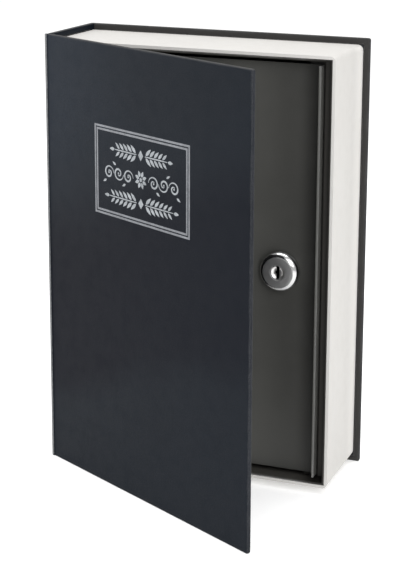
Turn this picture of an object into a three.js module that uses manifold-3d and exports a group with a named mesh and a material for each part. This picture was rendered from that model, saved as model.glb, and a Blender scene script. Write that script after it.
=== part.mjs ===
// Book diversion safe: a steel cash box hidden in an imitation hardback book that stands upright
// with its front cover ajar. Millimetres. X runs from the spine to the fore-edge, Y from the front
// cover to the back cover, Z up. The origin lies on the standing surface, at the middle of the
// spine's foot.

import * as THREE from 'three';
import * as BufferGeometryUtils from 'three/addons/utils/BufferGeometryUtils.js';
import Module from 'manifold-3d';

const wasm = await Module();
wasm.setup();

// Closed book
const coverHeight = 236;
const coverWidth = 162; // spine's outer face to the covers' fore-edge
const bookDepth = 55; // front cover's outer face to the back cover's
const coverAjarDeg = 28; // how far the front cover stands open
const coverWidestDeg = 255; // cover folded back round the spine, with the lid square open

// Case binding: cloth over board, with a paper lining on the inner side
const clothThickness = 0.4;
const boardThickness = 1.1;
const liningThickness = 0.4;
const turnInWidth = 3; // cloth that shows round the lining
const coverCornerRadius = 2.5;
const seatGap = 0.3; // between pieces that lie on or in each other

// Front joint: a roll of cloth that the cover turns round
const rollRadius = 1;
const rollInset = 0.35; // roll's centre behind the outer faces of cover and spine
const foldGap = 0.35; // roll to the spine
const coverEdgeGap = 0.5; // roll to the cover
const foldSwing = 0.25; // folded cover to the spine
const noseWidth = 0.6; // spine's edge beside the roll
const rearJointRadius = 1.5;

// Imitation page block: a moulded frame with a flange at the back
const coverOverhang = 3.5; // covers beyond the page block at head, foot and fore-edge
const coverClearance = 0.5; // closed cover to the page block
const pageWall = 1.7;
const pageCornerRadius = 3;
const pageFlangeWidth = 14;
const roundingPerWall = 3; // a corner's radius stays under this many walls

// Steel tray inside the page block
const trayClearance = 0.2;
const trayFrontInset = 0.2; // tray's edge behind the page block's front
const trayWall = 1;
const trayRivetInset = 9; // rivet to the page block's outer faces

// Steel lid with a lip bent forward along its free edge
const lidRecess = 6.4; // page block's front to the lid's front face
const lidThickness = 1.2;
const lidEdgeGap = 2.4; // lid to the tray's top and bottom
const fingerGap = 4.7; // lip to the tray's fore-edge wall
const lipRise = 6.2; // lip's edge in front of the lid's front face
const lidBendRadius = 1;
const lidHingeOverlap = 0.5; // lid's hinge edge past the hinge's axis

// Piano hinge
const barrelRadius = 2;
const pinRadius = 1;
const pinClearance = 0.2;
const leafThickness = 1;
const leafWidth = 13;
const hingeEndInset = 9; // hinge's end to the lid's end
const knuckleCount = 9;
const hingeRivetCount = 3;
const hingeRivetEndInset = 18; // first and last rivet to the hinge's ends
const hingeRivetFromAxis = 8;

// Catch angle on the tray's fore-edge wall
const catchThickness = 1;
const catchFlangeWidth = 12.5;
const catchLegDepth = 14;
const catchBendRadius = 0.5;
const catchRivetCount = 3;
const catchRivetEndInset = 29.1; // first and last rivet to the angle's ends
const catchRivetFromFlange = 8;

// Rivets
const rivetShankRadius = 1.2;
const rivetHeadRadius = 2.5;
const rivetHeadHeight = 0.9;
const rivetDomeShare = 0.6; // dome's flatter top, as a share of the head's radius
const rivetDomeRise = 0.85; // where that top begins, as a share of the head's height
const rivetEdgeRise = 0.3; // head's upright edge, as a share of its height
const rivetTailRadius = 2;
const rivetTailHeight = 0.6;
const trayRivetShankRadius = 1.6;
const trayRivetHeadRadius = 3.5;
const trayRivetHeadHeight = 1;
const rivetClearance = 0.1;

// Cam lock
const lockInset = 22; // lock's axis to the lip's outer face
const lockBezelRadius = 11;
const lockFaceRadius = 8.2;
const lockProud = 4.9; // lock's face in front of the lid
const lockFaceRounding = 0.4;
const lockFlareEdge = 0.8; // thickness of the flare's rim
const barrelLength = 12; // lock's barrel behind the lid's front face
const lockBarrelRadius = 8;
const lockFlatHalfWidth = 7; // flats on the barrel
const lockFit = 0.15; // barrel to its hole and to its nut
const mouthRadius = 4.05;
const mouthDepth = 2.1;
const mouthChamfer = 0.3;
const plugRadius = 5.8;
const plugFit = 0.15;
const plugInset = 0.2; // plug's front behind the lock's face
const dishRadius = 3.5;
const dishFloorRadius = 2.15;
const dishDepth = 0.9;
const keywayWidth = 1.5;
const keywayHeight = 7.2;
const keywayEndWall = 0.7; // keyway's end to the screw's hole
const wardWidth = 0.8;
const wardHeight = 1.4;
const washerThickness = 0.8;
const washerRadius = 10.8;
const nutThickness = 3.2;
const nutHalfFlats = 11;
const nutSides = 6;

// Wafers in the plug
const waferCount = 5;
const waferPitch = 2.1;
const waferFirst = 1.2; // first wafer's middle behind the plug's shoulder
const waferThickness = 0.8;
const waferWidth = 5;
const waferHeight = 9.6;
const waferWindowWidth = 2.2;
const waferWindowHeight = 5.6;
const waferClearance = 0.1;

// Cam, with a step that brings its end up to the catch
const camThickness = 1.8;
const camHalfWidth = 6;
const camHeel = 7;
const camStepStart = 11;
const camStepLength = 5.4;
const camReach = 23;
const camCatchGap = 0.5;
const camTipRadius = 3;
const camHeelRadius = 5;
const tailHalfWidth = 2.5;
const tailFit = 0.15;
const tailShort = 0.2; // plug's tail short of the cam's back
const screwShankRadius = 1.1;
const screwHoleRadius = 1.3;
const screwLength = 6;
const screwTipGap = 0.2;
const screwHeadRadius = 2.9;
const screwHeadHeight = 1.8;
const screwHeadChamfer = 0.5;
const screwSlotWidth = 0.8;
const screwSlotDepth = 0.9;
const camWasherThickness = 0.6;
const camWasherRadius = 4.3;

// Facets of round pieces
const fineSides = 40;
const plainSides = 16;
const bendSteps = 4;

// A cut runs this far past the piece that it is made in
const cutMargin = 1;

// Corners nearer to each other than this are one
const weldDistance = 1e-5;

// Places worked out from the sizes above
const coverThickness = 2 * clothThickness + 2 * seatGap + boardThickness;
const page = {
  x0: coverThickness + seatGap,
  x1: coverWidth - coverOverhang,
  y0: coverThickness + coverClearance,
  y1: bookDepth - coverThickness - seatGap,
  z0: coverOverhang,
  z1: coverHeight - coverOverhang,
};
const tray = {
  x0: page.x0 + pageWall + trayClearance,
  x1: page.x1 - pageWall - trayClearance,
  y0: page.y0 + trayFrontInset,
  y1: page.y1 - pageWall - seatGap,
  z0: page.z0 + pageWall + trayClearance,
  z1: page.z1 - pageWall - trayClearance,
};
const inside = {
  x0: tray.x0 + trayWall,
  x1: tray.x1 - trayWall,
  y1: tray.y1 - trayWall,
  z0: tray.z0 + trayWall,
  z1: tray.z1 - trayWall,
};
const hingeAxis = {
  x: inside.x0 + seatGap + barrelRadius,
  y: page.y0 + lidRecess - seatGap - barrelRadius,
};
const lid = {
  x0: hingeAxis.x + lidHingeOverlap,
  x1: inside.x1 - fingerGap,
  front: page.y0 + lidRecess,
  back: page.y0 + lidRecess + lidThickness,
  z0: inside.z0 + lidEdgeGap,
  z1: inside.z1 - lidEdgeGap,
};
const hinge = { z0: lid.z0 + hingeEndInset, z1: lid.z1 - hingeEndInset };
const catchFront = lid.back + seatGap;
const catchOuter = inside.x1 - seatGap;
const rollCentre = { x: rollInset, y: rollInset };
const lockPlace = new THREE.Vector3(lid.x1 - lockInset, lid.front, coverHeight / 2);

// Materials
const finishes = {
  cloth: { color: 0x2c2f38, roughness: 0.62, metalness: 0 },
  board: { color: 0x8f8a80, roughness: 0.95, metalness: 0 },
  lining: { color: 0x26272b, roughness: 0.9, metalness: 0 },
  pages: { color: 0xe9e8e2, roughness: 0.55, metalness: 0 },
  enamel: { color: 0x47473f, roughness: 0.5, metalness: 0.2 },
  steel: { color: 0x9a9a98, roughness: 0.4, metalness: 1 },
  chrome: { color: 0xc9c9cc, roughness: 0.15, metalness: 1 },
  brass: { color: 0xb59a5a, roughness: 0.35, metalness: 1 },
};

// Makes a mesh with its own material.
function piece(name, geometry, finish) {
  const mesh = new THREE.Mesh(geometry, new THREE.MeshStandardMaterial(finishes[finish]));
  mesh.name = name;
  return mesh;
}

// Six times the signed volume that a geometry's triangles close in; positive when they face out.
function signedVolume(geometry) {
  const position = geometry.attributes.position;
  const corners = [0, 1, 2].map(() => new THREE.Vector3());
  let sum = 0;
  for (let i = 0; i < geometry.index.count; i += 3) {
    corners.forEach((corner, k) => corner.fromBufferAttribute(position, geometry.index.getX(i + k)));
    sum += corners[0].dot(corners[1].clone().cross(corners[2]));
  }
  return sum;
}

// Turns a closed geometry into a solid that can be joined and cut.
function solid(source) {
  const bare = source.clone();
  bare.deleteAttribute('normal');
  bare.deleteAttribute('uv');
  const merged = BufferGeometryUtils.mergeVertices(bare, weldDistance);
  const faces = [];
  for (let i = 0; i < merged.index.count; i += 3) {
    const [a, b, c] = [0, 1, 2].map((k) => merged.index.getX(i + k));
    if (a !== b && b !== c && c !== a) {
      faces.push(a, b, c);
    }
  }
  merged.setIndex(faces);
  if (signedVolume(merged) < 0) {
    for (let i = 0; i < faces.length; i += 3) {
      [faces[i + 1], faces[i + 2]] = [faces[i + 2], faces[i + 1]];
    }
  }
  const vertProperties = Float32Array.from(merged.attributes.position.array);
  const triVerts = Uint32Array.from(faces);
  return new wasm.Manifold(new wasm.Mesh({ numProp: 3, vertProperties, triVerts }));
}

// Turns a solid back into a geometry.
function shell(body) {
  const mesh = body.getMesh();
  const geometry = new THREE.BufferGeometry();
  const corners = Float32Array.from(mesh.vertProperties);
  geometry.setAttribute('position', new THREE.BufferAttribute(corners, 3));
  geometry.setIndex(new THREE.BufferAttribute(Uint32Array.from(mesh.triVerts), 1));
  geometry.computeVertexNormals();
  return geometry;
}

// A box between two values on each axis.
function block(x0, x1, y0, y1, z0, z1) {
  const geometry = new THREE.BoxGeometry(1, 1, 1);
  const position = geometry.attributes.position;
  for (let i = 0; i < position.count; i += 1) {
    position.setXYZ(
      i,
      position.getX(i) < 0 ? x0 : x1,
      position.getY(i) < 0 ? y0 : y1,
      position.getZ(i) < 0 ? z0 : z1,
    );
  }
  return solid(geometry);
}

// Extrudes an outline along an axis from one value to another. The outline's two directions are
// X and Y along Z, X and Z along Y, and Y and Z along X.
function slab(outline, axis, from, to) {
  const geometry = new THREE.ExtrudeGeometry(outline, {
    depth: 1,
    bevelEnabled: false,
    curveSegments: 2 * bendSteps,
  });
  const position = geometry.attributes.position;
  for (let i = 0; i < position.count; i += 1) {
    const a = position.getX(i);
    const b = position.getY(i);
    const along = position.getZ(i) > 0 ? to : from;
    if (axis === 'z') {
      position.setXYZ(i, a, b, along);
    } else if (axis === 'y') {
      position.setXYZ(i, a, along, b);
    } else {
      position.setXYZ(i, along, a, b);
    }
  }
  return solid(geometry);
}

// A shape from a list of pairs.
function shapeOf(pairs) {
  return new THREE.Shape(pairs.map(([a, b]) => new THREE.Vector2(a, b)));
}

// A round bar parallel to an axis.
function bar(axis, radius, a, b, from, to, sides = plainSides) {
  const ring = Array.from({ length: sides }, (_, i) => {
    const turn = (2 * Math.PI * i) / sides;
    return [a + radius * Math.cos(turn), b + radius * Math.sin(turn)];
  });
  return slab(shapeOf(ring), axis, from, to);
}

// A turned piece about the Y axis, from a profile of radius and place along the axis.
function turned(profile, sides = plainSides) {
  const points = profile.map(([radius, along]) => new THREE.Vector2(radius, along));
  if (profile[0][0] > 0) {
    points.push(points[0].clone());
  }
  return solid(new THREE.LatheGeometry(points, sides));
}

// A rectangle with its corners rounded by one radius at its low end and one at its high end.
function roundedOutline(a0, a1, b0, b1, radiusLow, radiusHigh) {
  const corners = [
    { a: a0, b: b0, radius: radiusLow, start: Math.PI },
    { a: a1, b: b0, radius: radiusHigh, start: 1.5 * Math.PI },
    { a: a1, b: b1, radius: radiusHigh, start: 0 },
    { a: a0, b: b1, radius: radiusLow, start: 0.5 * Math.PI },
  ];
  const points = [];
  for (const corner of corners) {
    const steps = corner.radius > 0 ? 2 * bendSteps : 0;
    const centreA = corner.a + (corner.a === a0 ? corner.radius : -corner.radius);
    const centreB = corner.b + (corner.b === b0 ? corner.radius : -corner.radius);
    for (let i = 0; i <= steps; i += 1) {
      const turn = corner.start + (0.5 * Math.PI * i) / Math.max(steps, 1);
      points.push([
        centreA + corner.radius * Math.cos(turn),
        centreB + corner.radius * Math.sin(turn),
      ]);
    }
  }
  return shapeOf(points);
}

// The section of a bent sheet: two legs of signed length from one outer corner.
function bentSection(cornerX, cornerY, legX, legY, thickness, innerRadius) {
  const wayX = Math.sign(legX);
  const wayY = Math.sign(legY);
  const outerRadius = innerRadius + thickness;
  const centre = [cornerX + wayX * outerRadius, cornerY + wayY * outerRadius];
  const arc = (radius, step) => {
    const turn = (0.5 * Math.PI * step) / bendSteps;
    return [centre[0] - wayX * radius * Math.sin(turn), centre[1] - wayY * radius * Math.cos(turn)];
  };
  const points = [[cornerX + legX, cornerY]];
  for (let i = 0; i <= bendSteps; i += 1) {
    points.push(arc(outerRadius, i));
  }
  points.push([cornerX, cornerY + legY], [cornerX + wayX * thickness, cornerY + legY]);
  for (let i = bendSteps; i >= 0; i -= 1) {
    points.push(arc(innerRadius, i));
  }
  points.push([cornerX + legX, cornerY + wayY * thickness]);
  return shapeOf(points);
}

// Places a number of copies evenly between two values, or one in the middle.
function spread(count, from, to) {
  if (count < 2) {
    return [(from + to) / 2];
  }
  return Array.from({ length: count }, (_, i) => from + ((to - from) * i) / (count - 1));
}

// One panel of the case binding, lying along X with its outer face at Y = 0 and its inner face
// behind it: a cloth sleeve open in a window, the board in it and the lining in the window.
function casedPanel(length, cornerLow, cornerHigh, holes) {
  const outline = (inset) => {
    const radius = (corner) => Math.max(corner - inset, 0);
    return roundedOutline(
      inset,
      length - inset,
      inset,
      coverHeight - inset,
      radius(cornerLow),
      radius(cornerHigh),
    );
  };
  const cavity = slab(outline(clothThickness), 'y', clothThickness, coverThickness - clothThickness);
  const window = block(
    turnInWidth,
    length - turnInWidth,
    coverThickness - 2 * clothThickness,
    coverThickness + cutMargin,
    turnInWidth,
    coverHeight - turnInWidth,
  );
  const cloth = slab(outline(0), 'y', 0, coverThickness).subtract(cavity).subtract(window);
  const boardFront = clothThickness + seatGap;
  let board = slab(outline(boardFront), 'y', boardFront, boardFront + boardThickness);
  const liningEdge = turnInWidth + seatGap;
  let lining = block(
    liningEdge,
    length - liningEdge,
    coverThickness - liningThickness,
    coverThickness,
    liningEdge,
    coverHeight - liningEdge,
  );
  for (const hole of holes) {
    const drill = bar('y', hole.radius, hole.x, hole.z, -cutMargin, coverThickness + cutMargin);
    board = board.subtract(drill);
    lining = lining.subtract(drill);
  }
  return { cloth, board, lining };
}

// The places of the tray's rivets, over the page block's flange.
function trayRivetPlaces() {
  const places = [];
  for (const x of [page.x0 + trayRivetInset, page.x1 - trayRivetInset]) {
    for (const z of [page.z0 + trayRivetInset, page.z1 - trayRivetInset]) {
      places.push({ x, z });
    }
  }
  return places;
}

// The back cover, turned round so that its outer face looks backwards.
function backCover() {
  const start = coverThickness + seatGap;
  const holes = trayRivetPlaces().map(({ x, z }) => {
    return { x: coverWidth - x, z, radius: trayRivetShankRadius + rivetClearance };
  });
  const panel = casedPanel(coverWidth - start, coverCornerRadius, 0, holes);
  const group = new THREE.Group();
  group.add(piece('back_cover_cloth', shell(panel.cloth), 'cloth'));
  group.add(piece('back_cover_board', shell(panel.board), 'board'));
  group.add(piece('back_cover_lining', shell(panel.lining), 'lining'));
  group.rotation.z = Math.PI;
  group.position.set(coverWidth, bookDepth, 0);
  return group;
}

// The spine, with a tapered edge that reaches the roll and clears the cover folded right back.
function spine() {
  const back = bookDepth - coverThickness - seatGap;
  const widest = THREE.MathUtils.degToRad(coverWidestDeg);
  const along = { x: Math.cos(widest), y: -Math.sin(widest) };
  const reach = rollInset + foldSwing;
  const start = { x: rollCentre.x + along.y * reach, y: rollCentre.y - along.x * reach };
  const edgeY = rollCentre.y + rollRadius + foldGap;
  const edgeX = start.x + (along.x * (edgeY - start.y)) / along.y;
  const front = start.y - (along.y * start.x) / along.x;
  const length = back - front;
  const panel = casedPanel(length, 0, 0, []);
  const nose = [
    [0, front + clothThickness / 2],
    [0, front],
    [edgeX, edgeY],
    [edgeX + noseWidth, edgeY],
    [coverThickness, front],
    [coverThickness, front + clothThickness / 2],
  ];
  const noseOutline = shapeOf(nose.map(([x, y]) => [back - y, x]));
  const cloth = panel.cloth.add(slab(noseOutline, 'z', 0, coverHeight));
  const group = new THREE.Group();
  group.add(piece('spine_cloth', shell(cloth), 'cloth'));
  group.add(piece('spine_board', shell(panel.board), 'board'));
  group.add(piece('spine_lining', shell(panel.lining), 'lining'));
  group.rotation.z = -Math.PI / 2;
  group.position.set(0, back, 0);
  return group;
}

// The fold of cloth between the spine and the back cover.
function rearJoint() {
  const start = bookDepth - coverThickness;
  const corner = [];
  for (let i = 0; i <= bendSteps; i += 1) {
    const turn = Math.PI - (0.5 * Math.PI * i) / bendSteps;
    corner.push([
      rearJointRadius * (1 + Math.cos(turn)),
      bookDepth - rearJointRadius + rearJointRadius * Math.sin(turn),
    ]);
  }
  const outline = shapeOf([
    [0, start],
    ...corner,
    [coverThickness, bookDepth],
    [coverThickness, start],
  ]);
  return piece('rear_joint_cloth', shell(slab(outline, 'z', 0, coverHeight)), 'cloth');
}

// The roll of cloth that the front cover turns round.
function frontJoint() {
  const roll = bar('z', rollRadius, rollCentre.x, rollCentre.y, 0, coverHeight);
  return piece('front_joint_cloth', shell(roll), 'cloth');
}

// The front cover, turned about the roll's centre.
function frontCover() {
  const start = rollRadius + coverEdgeGap;
  const panel = casedPanel(coverWidth - rollCentre.x - start, 0, coverCornerRadius, []);
  const group = new THREE.Group();
  group.add(piece('front_cover_cloth', shell(panel.cloth), 'cloth'));
  group.add(piece('front_cover_board', shell(panel.board), 'board'));
  group.add(piece('front_cover_lining', shell(panel.lining), 'lining'));
  group.position.set(start, -rollInset, 0);
  const pivot = new THREE.Group();
  pivot.add(group);
  pivot.position.set(rollCentre.x, rollCentre.y, 0);
  pivot.rotation.z = -THREE.MathUtils.degToRad(coverAjarDeg);
  return pivot;
}

// The imitation page block: four walls and a flange at the back that the tray clamps.
function pageShell() {
  const corner = Math.min(pageCornerRadius, roundingPerWall * pageWall);
  const outline = roundedOutline(page.x0, page.x1, page.z0, page.z1, 0, corner);
  const hollow = block(
    page.x0 + pageWall,
    page.x1 - pageWall,
    page.y0 - cutMargin,
    page.y1 - pageWall,
    page.z0 + pageWall,
    page.z1 - pageWall,
  );
  const backOpening = block(
    page.x0 + pageFlangeWidth,
    page.x1 - pageFlangeWidth,
    page.y0,
    page.y1 + cutMargin,
    page.z0 + pageFlangeWidth,
    page.z1 - pageFlangeWidth,
  );
  let body = slab(outline, 'y', page.y0, page.y1).subtract(hollow).subtract(backOpening);
  for (const { x, z } of trayRivetPlaces()) {
    const radius = trayRivetShankRadius + rivetClearance;
    body = body.subtract(bar('y', radius, x, z, inside.y1, page.y1 + cutMargin));
  }
  return piece('page_shell', shell(body), 'pages');
}

// The places of the rivets along the hinge, and of those along the catch angle.
const hingeRivetHeights = spread(
  hingeRivetCount,
  hinge.z0 + hingeRivetEndInset,
  hinge.z1 - hingeRivetEndInset,
);
const catchRivetHeights = spread(
  catchRivetCount,
  inside.z0 + seatGap + catchRivetEndInset,
  inside.z1 - seatGap - catchRivetEndInset,
);
const leafRivetY = hingeAxis.y + hingeRivetFromAxis;
const lidRivetX = hingeAxis.x + hingeRivetFromAxis;
const catchRivetY = catchFront + catchRivetFromFlange;

// A drill along X, for the rivets in the tray's side walls and what is fixed to them.
function crossDrill(y, z, x0, x1) {
  return bar('x', rivetShankRadius + rivetClearance, y, z, x0, x1);
}

// The steel tray, open at the front.
function boxTray() {
  const hollow = block(inside.x0, inside.x1, tray.y0 - cutMargin, inside.y1, inside.z0, inside.z1);
  let body = block(tray.x0, tray.x1, tray.y0, tray.y1, tray.z0, tray.z1).subtract(hollow);
  for (const { x, z } of trayRivetPlaces()) {
    const radius = trayRivetShankRadius + rivetClearance;
    body = body.subtract(bar('y', radius, x, z, inside.y1 - cutMargin, tray.y1 + cutMargin));
  }
  for (const z of hingeRivetHeights) {
    body = body.subtract(crossDrill(leafRivetY, z, tray.x0 - cutMargin, inside.x0 + cutMargin));
  }
  for (const z of catchRivetHeights) {
    body = body.subtract(crossDrill(catchRivetY, z, inside.x1 - cutMargin, tray.x1 + cutMargin));
  }
  return piece('box_tray', shell(body), 'enamel');
}

// A rivet along Y with its domed head in front of Y = 0. A tail, where it has one, is spread flat
// at the far end.
function rivetSolid(shank, head, headHeight, grip, tail) {
  const profile = [
    [0, -headHeight],
    [rivetDomeShare * head, -rivetDomeRise * headHeight],
    [head, -rivetEdgeRise * headHeight],
    [head, 0],
    [shank, 0],
    [shank, grip],
  ];
  if (tail) {
    profile.push([tail.radius, grip], [tail.radius, grip + tail.height], [0, grip + tail.height]);
  } else {
    profile.push([0, grip]);
  }
  return turned(profile);
}

// The rivets that hold the tray and the page block to the back cover.
function trayRivets() {
  const seat = inside.y1 - seatGap;
  const grip = bookDepth - clothThickness - seatGap - seat;
  return trayRivetPlaces().map(({ x, z }, i) => {
    const head = trayRivetHeadRadius;
    const body = rivetSolid(trayRivetShankRadius, head, trayRivetHeadHeight, grip, null);
    const rivet = piece(`tray_rivet_${i + 1}`, shell(body), 'steel');
    rivet.position.set(x, seat, z);
    return rivet;
  });
}

// The rivets that hold the fixed hinge leaf, with their heads inside the tray.
function leafRivets() {
  const seat = inside.x0 + 2 * seatGap + leafThickness;
  const grip = seat - tray.x0;
  const body = rivetSolid(rivetShankRadius, rivetHeadRadius, rivetHeadHeight, grip, null);
  return hingeRivetHeights.map((z, i) => {
    const rivet = piece(`leaf_rivet_${i + 1}`, shell(body), 'steel');
    rivet.rotation.z = Math.PI / 2;
    rivet.position.set(seat, leafRivetY, z);
    return rivet;
  });
}

// The rivets that hold the catch angle, with their heads inside the tray.
function catchRivets() {
  const seat = catchOuter - catchThickness - seatGap;
  const grip = tray.x1 - seat;
  const body = rivetSolid(rivetShankRadius, rivetHeadRadius, rivetHeadHeight, grip, null);
  return catchRivetHeights.map((z, i) => {
    const rivet = piece(`catch_rivet_${i + 1}`, shell(body), 'steel');
    rivet.rotation.z = -Math.PI / 2;
    rivet.position.set(seat, catchRivetY, z);
    return rivet;
  });
}

// The angle that the lid closes against and the cam turns behind.
function catchAngle() {
  const section = bentSection(
    catchOuter,
    catchFront,
    seatGap - catchFlangeWidth,
    catchLegDepth,
    catchThickness,
    catchBendRadius,
  );
  let body = slab(section, 'z', inside.z0 + seatGap, inside.z1 - seatGap);
  for (const z of catchRivetHeights) {
    const x0 = catchOuter - catchThickness - cutMargin;
    body = body.subtract(crossDrill(catchRivetY, z, x0, catchOuter + cutMargin));
  }
  return piece('catch_angle', shell(body), 'enamel');
}

// The heights between which each of a leaf's knuckles lies; the two leaves take turns.
function knuckleSpans(first) {
  const pitch = (hinge.z1 - hinge.z0) / knuckleCount;
  const spans = [];
  for (let i = first; i < knuckleCount; i += 2) {
    spans.push([hinge.z0 + i * pitch + seatGap / 2, hinge.z0 + (i + 1) * pitch - seatGap / 2]);
  }
  return spans;
}

// A hinge leaf: its plate, a tab and a knuckle for each of its spans, and the pin's bore. The
// plate and the tabs are given by functions of the heights between which they lie.
function hingeLeaf(first, plate, tab) {
  let body = plate(hinge.z0, hinge.z1);
  for (const [z0, z1] of knuckleSpans(first)) {
    body = body.add(tab(z0, z1)).add(bar('z', barrelRadius, hingeAxis.x, hingeAxis.y, z0, z1));
  }
  const bore = pinRadius + pinClearance;
  return body.subtract(
    bar('z', bore, hingeAxis.x, hingeAxis.y, hinge.z0 - cutMargin, hinge.z1 + cutMargin),
  );
}

// The leaf on the tray's spine wall.
function fixedLeaf() {
  const x0 = hingeAxis.x - barrelRadius;
  const x1 = x0 + leafThickness;
  const start = hingeAxis.y + barrelRadius + seatGap;
  let body = hingeLeaf(
    0,
    (z0, z1) => block(x0, x1, start, hingeAxis.y + leafWidth, z0, z1),
    (z0, z1) => block(x0, x1, hingeAxis.y, start + leafThickness, z0, z1),
  );
  for (const z of hingeRivetHeights) {
    body = body.subtract(crossDrill(leafRivetY, z, x0 - cutMargin, x1 + cutMargin));
  }
  return piece('hinge_leaf_fixed', shell(body), 'enamel');
}

// The leaf on the lid's front face.
function movingLeaf() {
  const y1 = hingeAxis.y + barrelRadius;
  const y0 = y1 - leafThickness;
  const start = hingeAxis.x + barrelRadius + seatGap;
  let body = hingeLeaf(
    1,
    (z0, z1) => block(start, hingeAxis.x + leafWidth, y0, y1, z0, z1),
    (z0, z1) => block(hingeAxis.x, start + leafThickness, y0, y1, z0, z1),
  );
  for (const z of hingeRivetHeights) {
    const radius = rivetShankRadius + rivetClearance;
    body = body.subtract(bar('y', radius, lidRivetX, z, y0 - cutMargin, y1 + cutMargin));
  }
  return piece('hinge_leaf_moving', shell(body), 'enamel');
}

// The hinge's pin.
function hingePin() {
  const body = bar('z', pinRadius, hingeAxis.x, hingeAxis.y, hinge.z0, hinge.z1);
  return piece('hinge_pin', shell(body), 'steel');
}

// The rivets that hold the moving leaf to the lid.
function lidRivets() {
  const seat = hingeAxis.y + barrelRadius - leafThickness - seatGap;
  const tail = { radius: rivetTailRadius, height: rivetTailHeight };
  const grip = lid.back + seatGap - seat;
  const body = rivetSolid(rivetShankRadius, rivetHeadRadius, rivetHeadHeight, grip, tail);
  return hingeRivetHeights.map((z, i) => {
    const rivet = piece(`lid_rivet_${i + 1}`, shell(body), 'steel');
    rivet.position.set(lidRivetX, seat, z);
    return rivet;
  });
}

// The outline of a round with two flats, one above and one below, cut through a range of Y.
function flattedBar(radius, flatHalfWidth, y0, y1) {
  const round = bar('y', radius, 0, 0, y0, y1, fineSides);
  const band = block(-2 * radius, 2 * radius, y0, y1, -flatHalfWidth, flatHalfWidth);
  return round.intersect(band);
}

// The lid: a plate with its free edge bent forward, holed for the lock and the hinge's rivets.
function lidPlate() {
  const section = bentSection(
    lid.x1,
    lid.back,
    lid.x0 - lid.x1,
    -lipRise - lidThickness,
    lidThickness,
    lidBendRadius,
  );
  const lockHole = flattedBar(
    lockBarrelRadius + lockFit,
    lockFlatHalfWidth + lockFit,
    lid.front - cutMargin,
    lid.back + cutMargin,
  );
  let body = slab(section, 'z', lid.z0, lid.z1);
  body = body.subtract(lockHole.translate([lockPlace.x, 0, lockPlace.z]));
  const radius = rivetShankRadius + rivetClearance;
  for (const z of hingeRivetHeights) {
    const hole = bar('y', radius, lidRivetX, z, lid.front - cutMargin, lid.back + cutMargin);
    body = body.subtract(hole);
  }
  return piece('lid_plate', shell(body), 'enamel');
}

// The places along the lock's axis, from the lid's front face.
const plugShoulder = mouthDepth + plugFit - lockProud;
const camFront = barrelLength + seatGap;
const camBack = camFront + camThickness;
const screwHoleEnd = camBack - screwLength - screwTipGap;

// The lock's case: a flared bezel in front of the lid and a barrel with two flats behind it.
function lockBody() {
  const face = -lockProud;
  const profile = [
    [mouthRadius, face + mouthChamfer],
    [mouthRadius + mouthChamfer, face],
    [lockFaceRadius - lockFaceRounding, face],
    [lockFaceRadius, face + lockFaceRounding],
  ];
  const flareFoot = -seatGap - lockFlareEdge;
  const rise = flareFoot - face - lockFaceRounding;
  const spreadOut = lockBezelRadius - lockFaceRadius;
  for (let i = 1; i <= bendSteps; i += 1) {
    const turn = (0.5 * Math.PI * i) / bendSteps;
    profile.push([
      lockFaceRadius + spreadOut * (1 - Math.cos(turn)),
      face + lockFaceRounding + rise * Math.sin(turn),
    ]);
  }
  const bore = plugRadius + plugFit;
  profile.push(
    [lockBezelRadius, -seatGap],
    [lockBarrelRadius, -seatGap],
    [lockBarrelRadius, barrelLength],
    [bore, barrelLength],
    [bore, mouthDepth - lockProud],
    [mouthRadius, mouthDepth - lockProud],
  );
  let body = turned(profile, fineSides);
  for (const way of [-1, 1]) {
    const z = [way * lockFlatHalfWidth, way * 2 * lockBarrelRadius].sort((a, b) => a - b);
    const wide = 2 * lockBarrelRadius;
    body = body.subtract(block(-wide, wide, -seatGap, barrelLength + cutMargin, z[0], z[1]));
  }
  const lock = piece('lock_body', shell(body), 'chrome');
  lock.position.copy(lockPlace);
  return lock;
}

// A washer with two flats, under the nut.
function lockWasher() {
  const y0 = lidThickness + seatGap;
  const y1 = y0 + washerThickness;
  const hole = flattedBar(
    lockBarrelRadius + lockFit,
    lockFlatHalfWidth + lockFit,
    y0 - cutMargin,
    y1 + cutMargin,
  );
  const body = bar('y', washerRadius, 0, 0, y0, y1, fineSides).subtract(hole);
  const washer = piece('lock_washer', shell(body), 'steel');
  washer.position.copy(lockPlace);
  return washer;
}

// The hexagonal nut that clamps the lock to the lid.
function lockNut() {
  const y0 = lidThickness + 2 * seatGap + washerThickness;
  const y1 = y0 + nutThickness;
  const acrossCorners = nutHalfFlats / Math.cos(Math.PI / nutSides);
  const hexagon = bar('y', acrossCorners, 0, 0, y0, y1, nutSides);
  const bore = lockBarrelRadius + lockFit;
  const hole = bar('y', bore, 0, 0, y0 - cutMargin, y1 + cutMargin, fineSides);
  const nut = piece('lock_nut', shell(hexagon.subtract(hole)), 'steel');
  nut.position.copy(lockPlace);
  return nut;
}

// The middles of the wafers along the lock's axis.
const waferPlaces = Array.from(
  { length: waferCount },
  (_, i) => plugShoulder + waferFirst + i * waferPitch,
);

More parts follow.
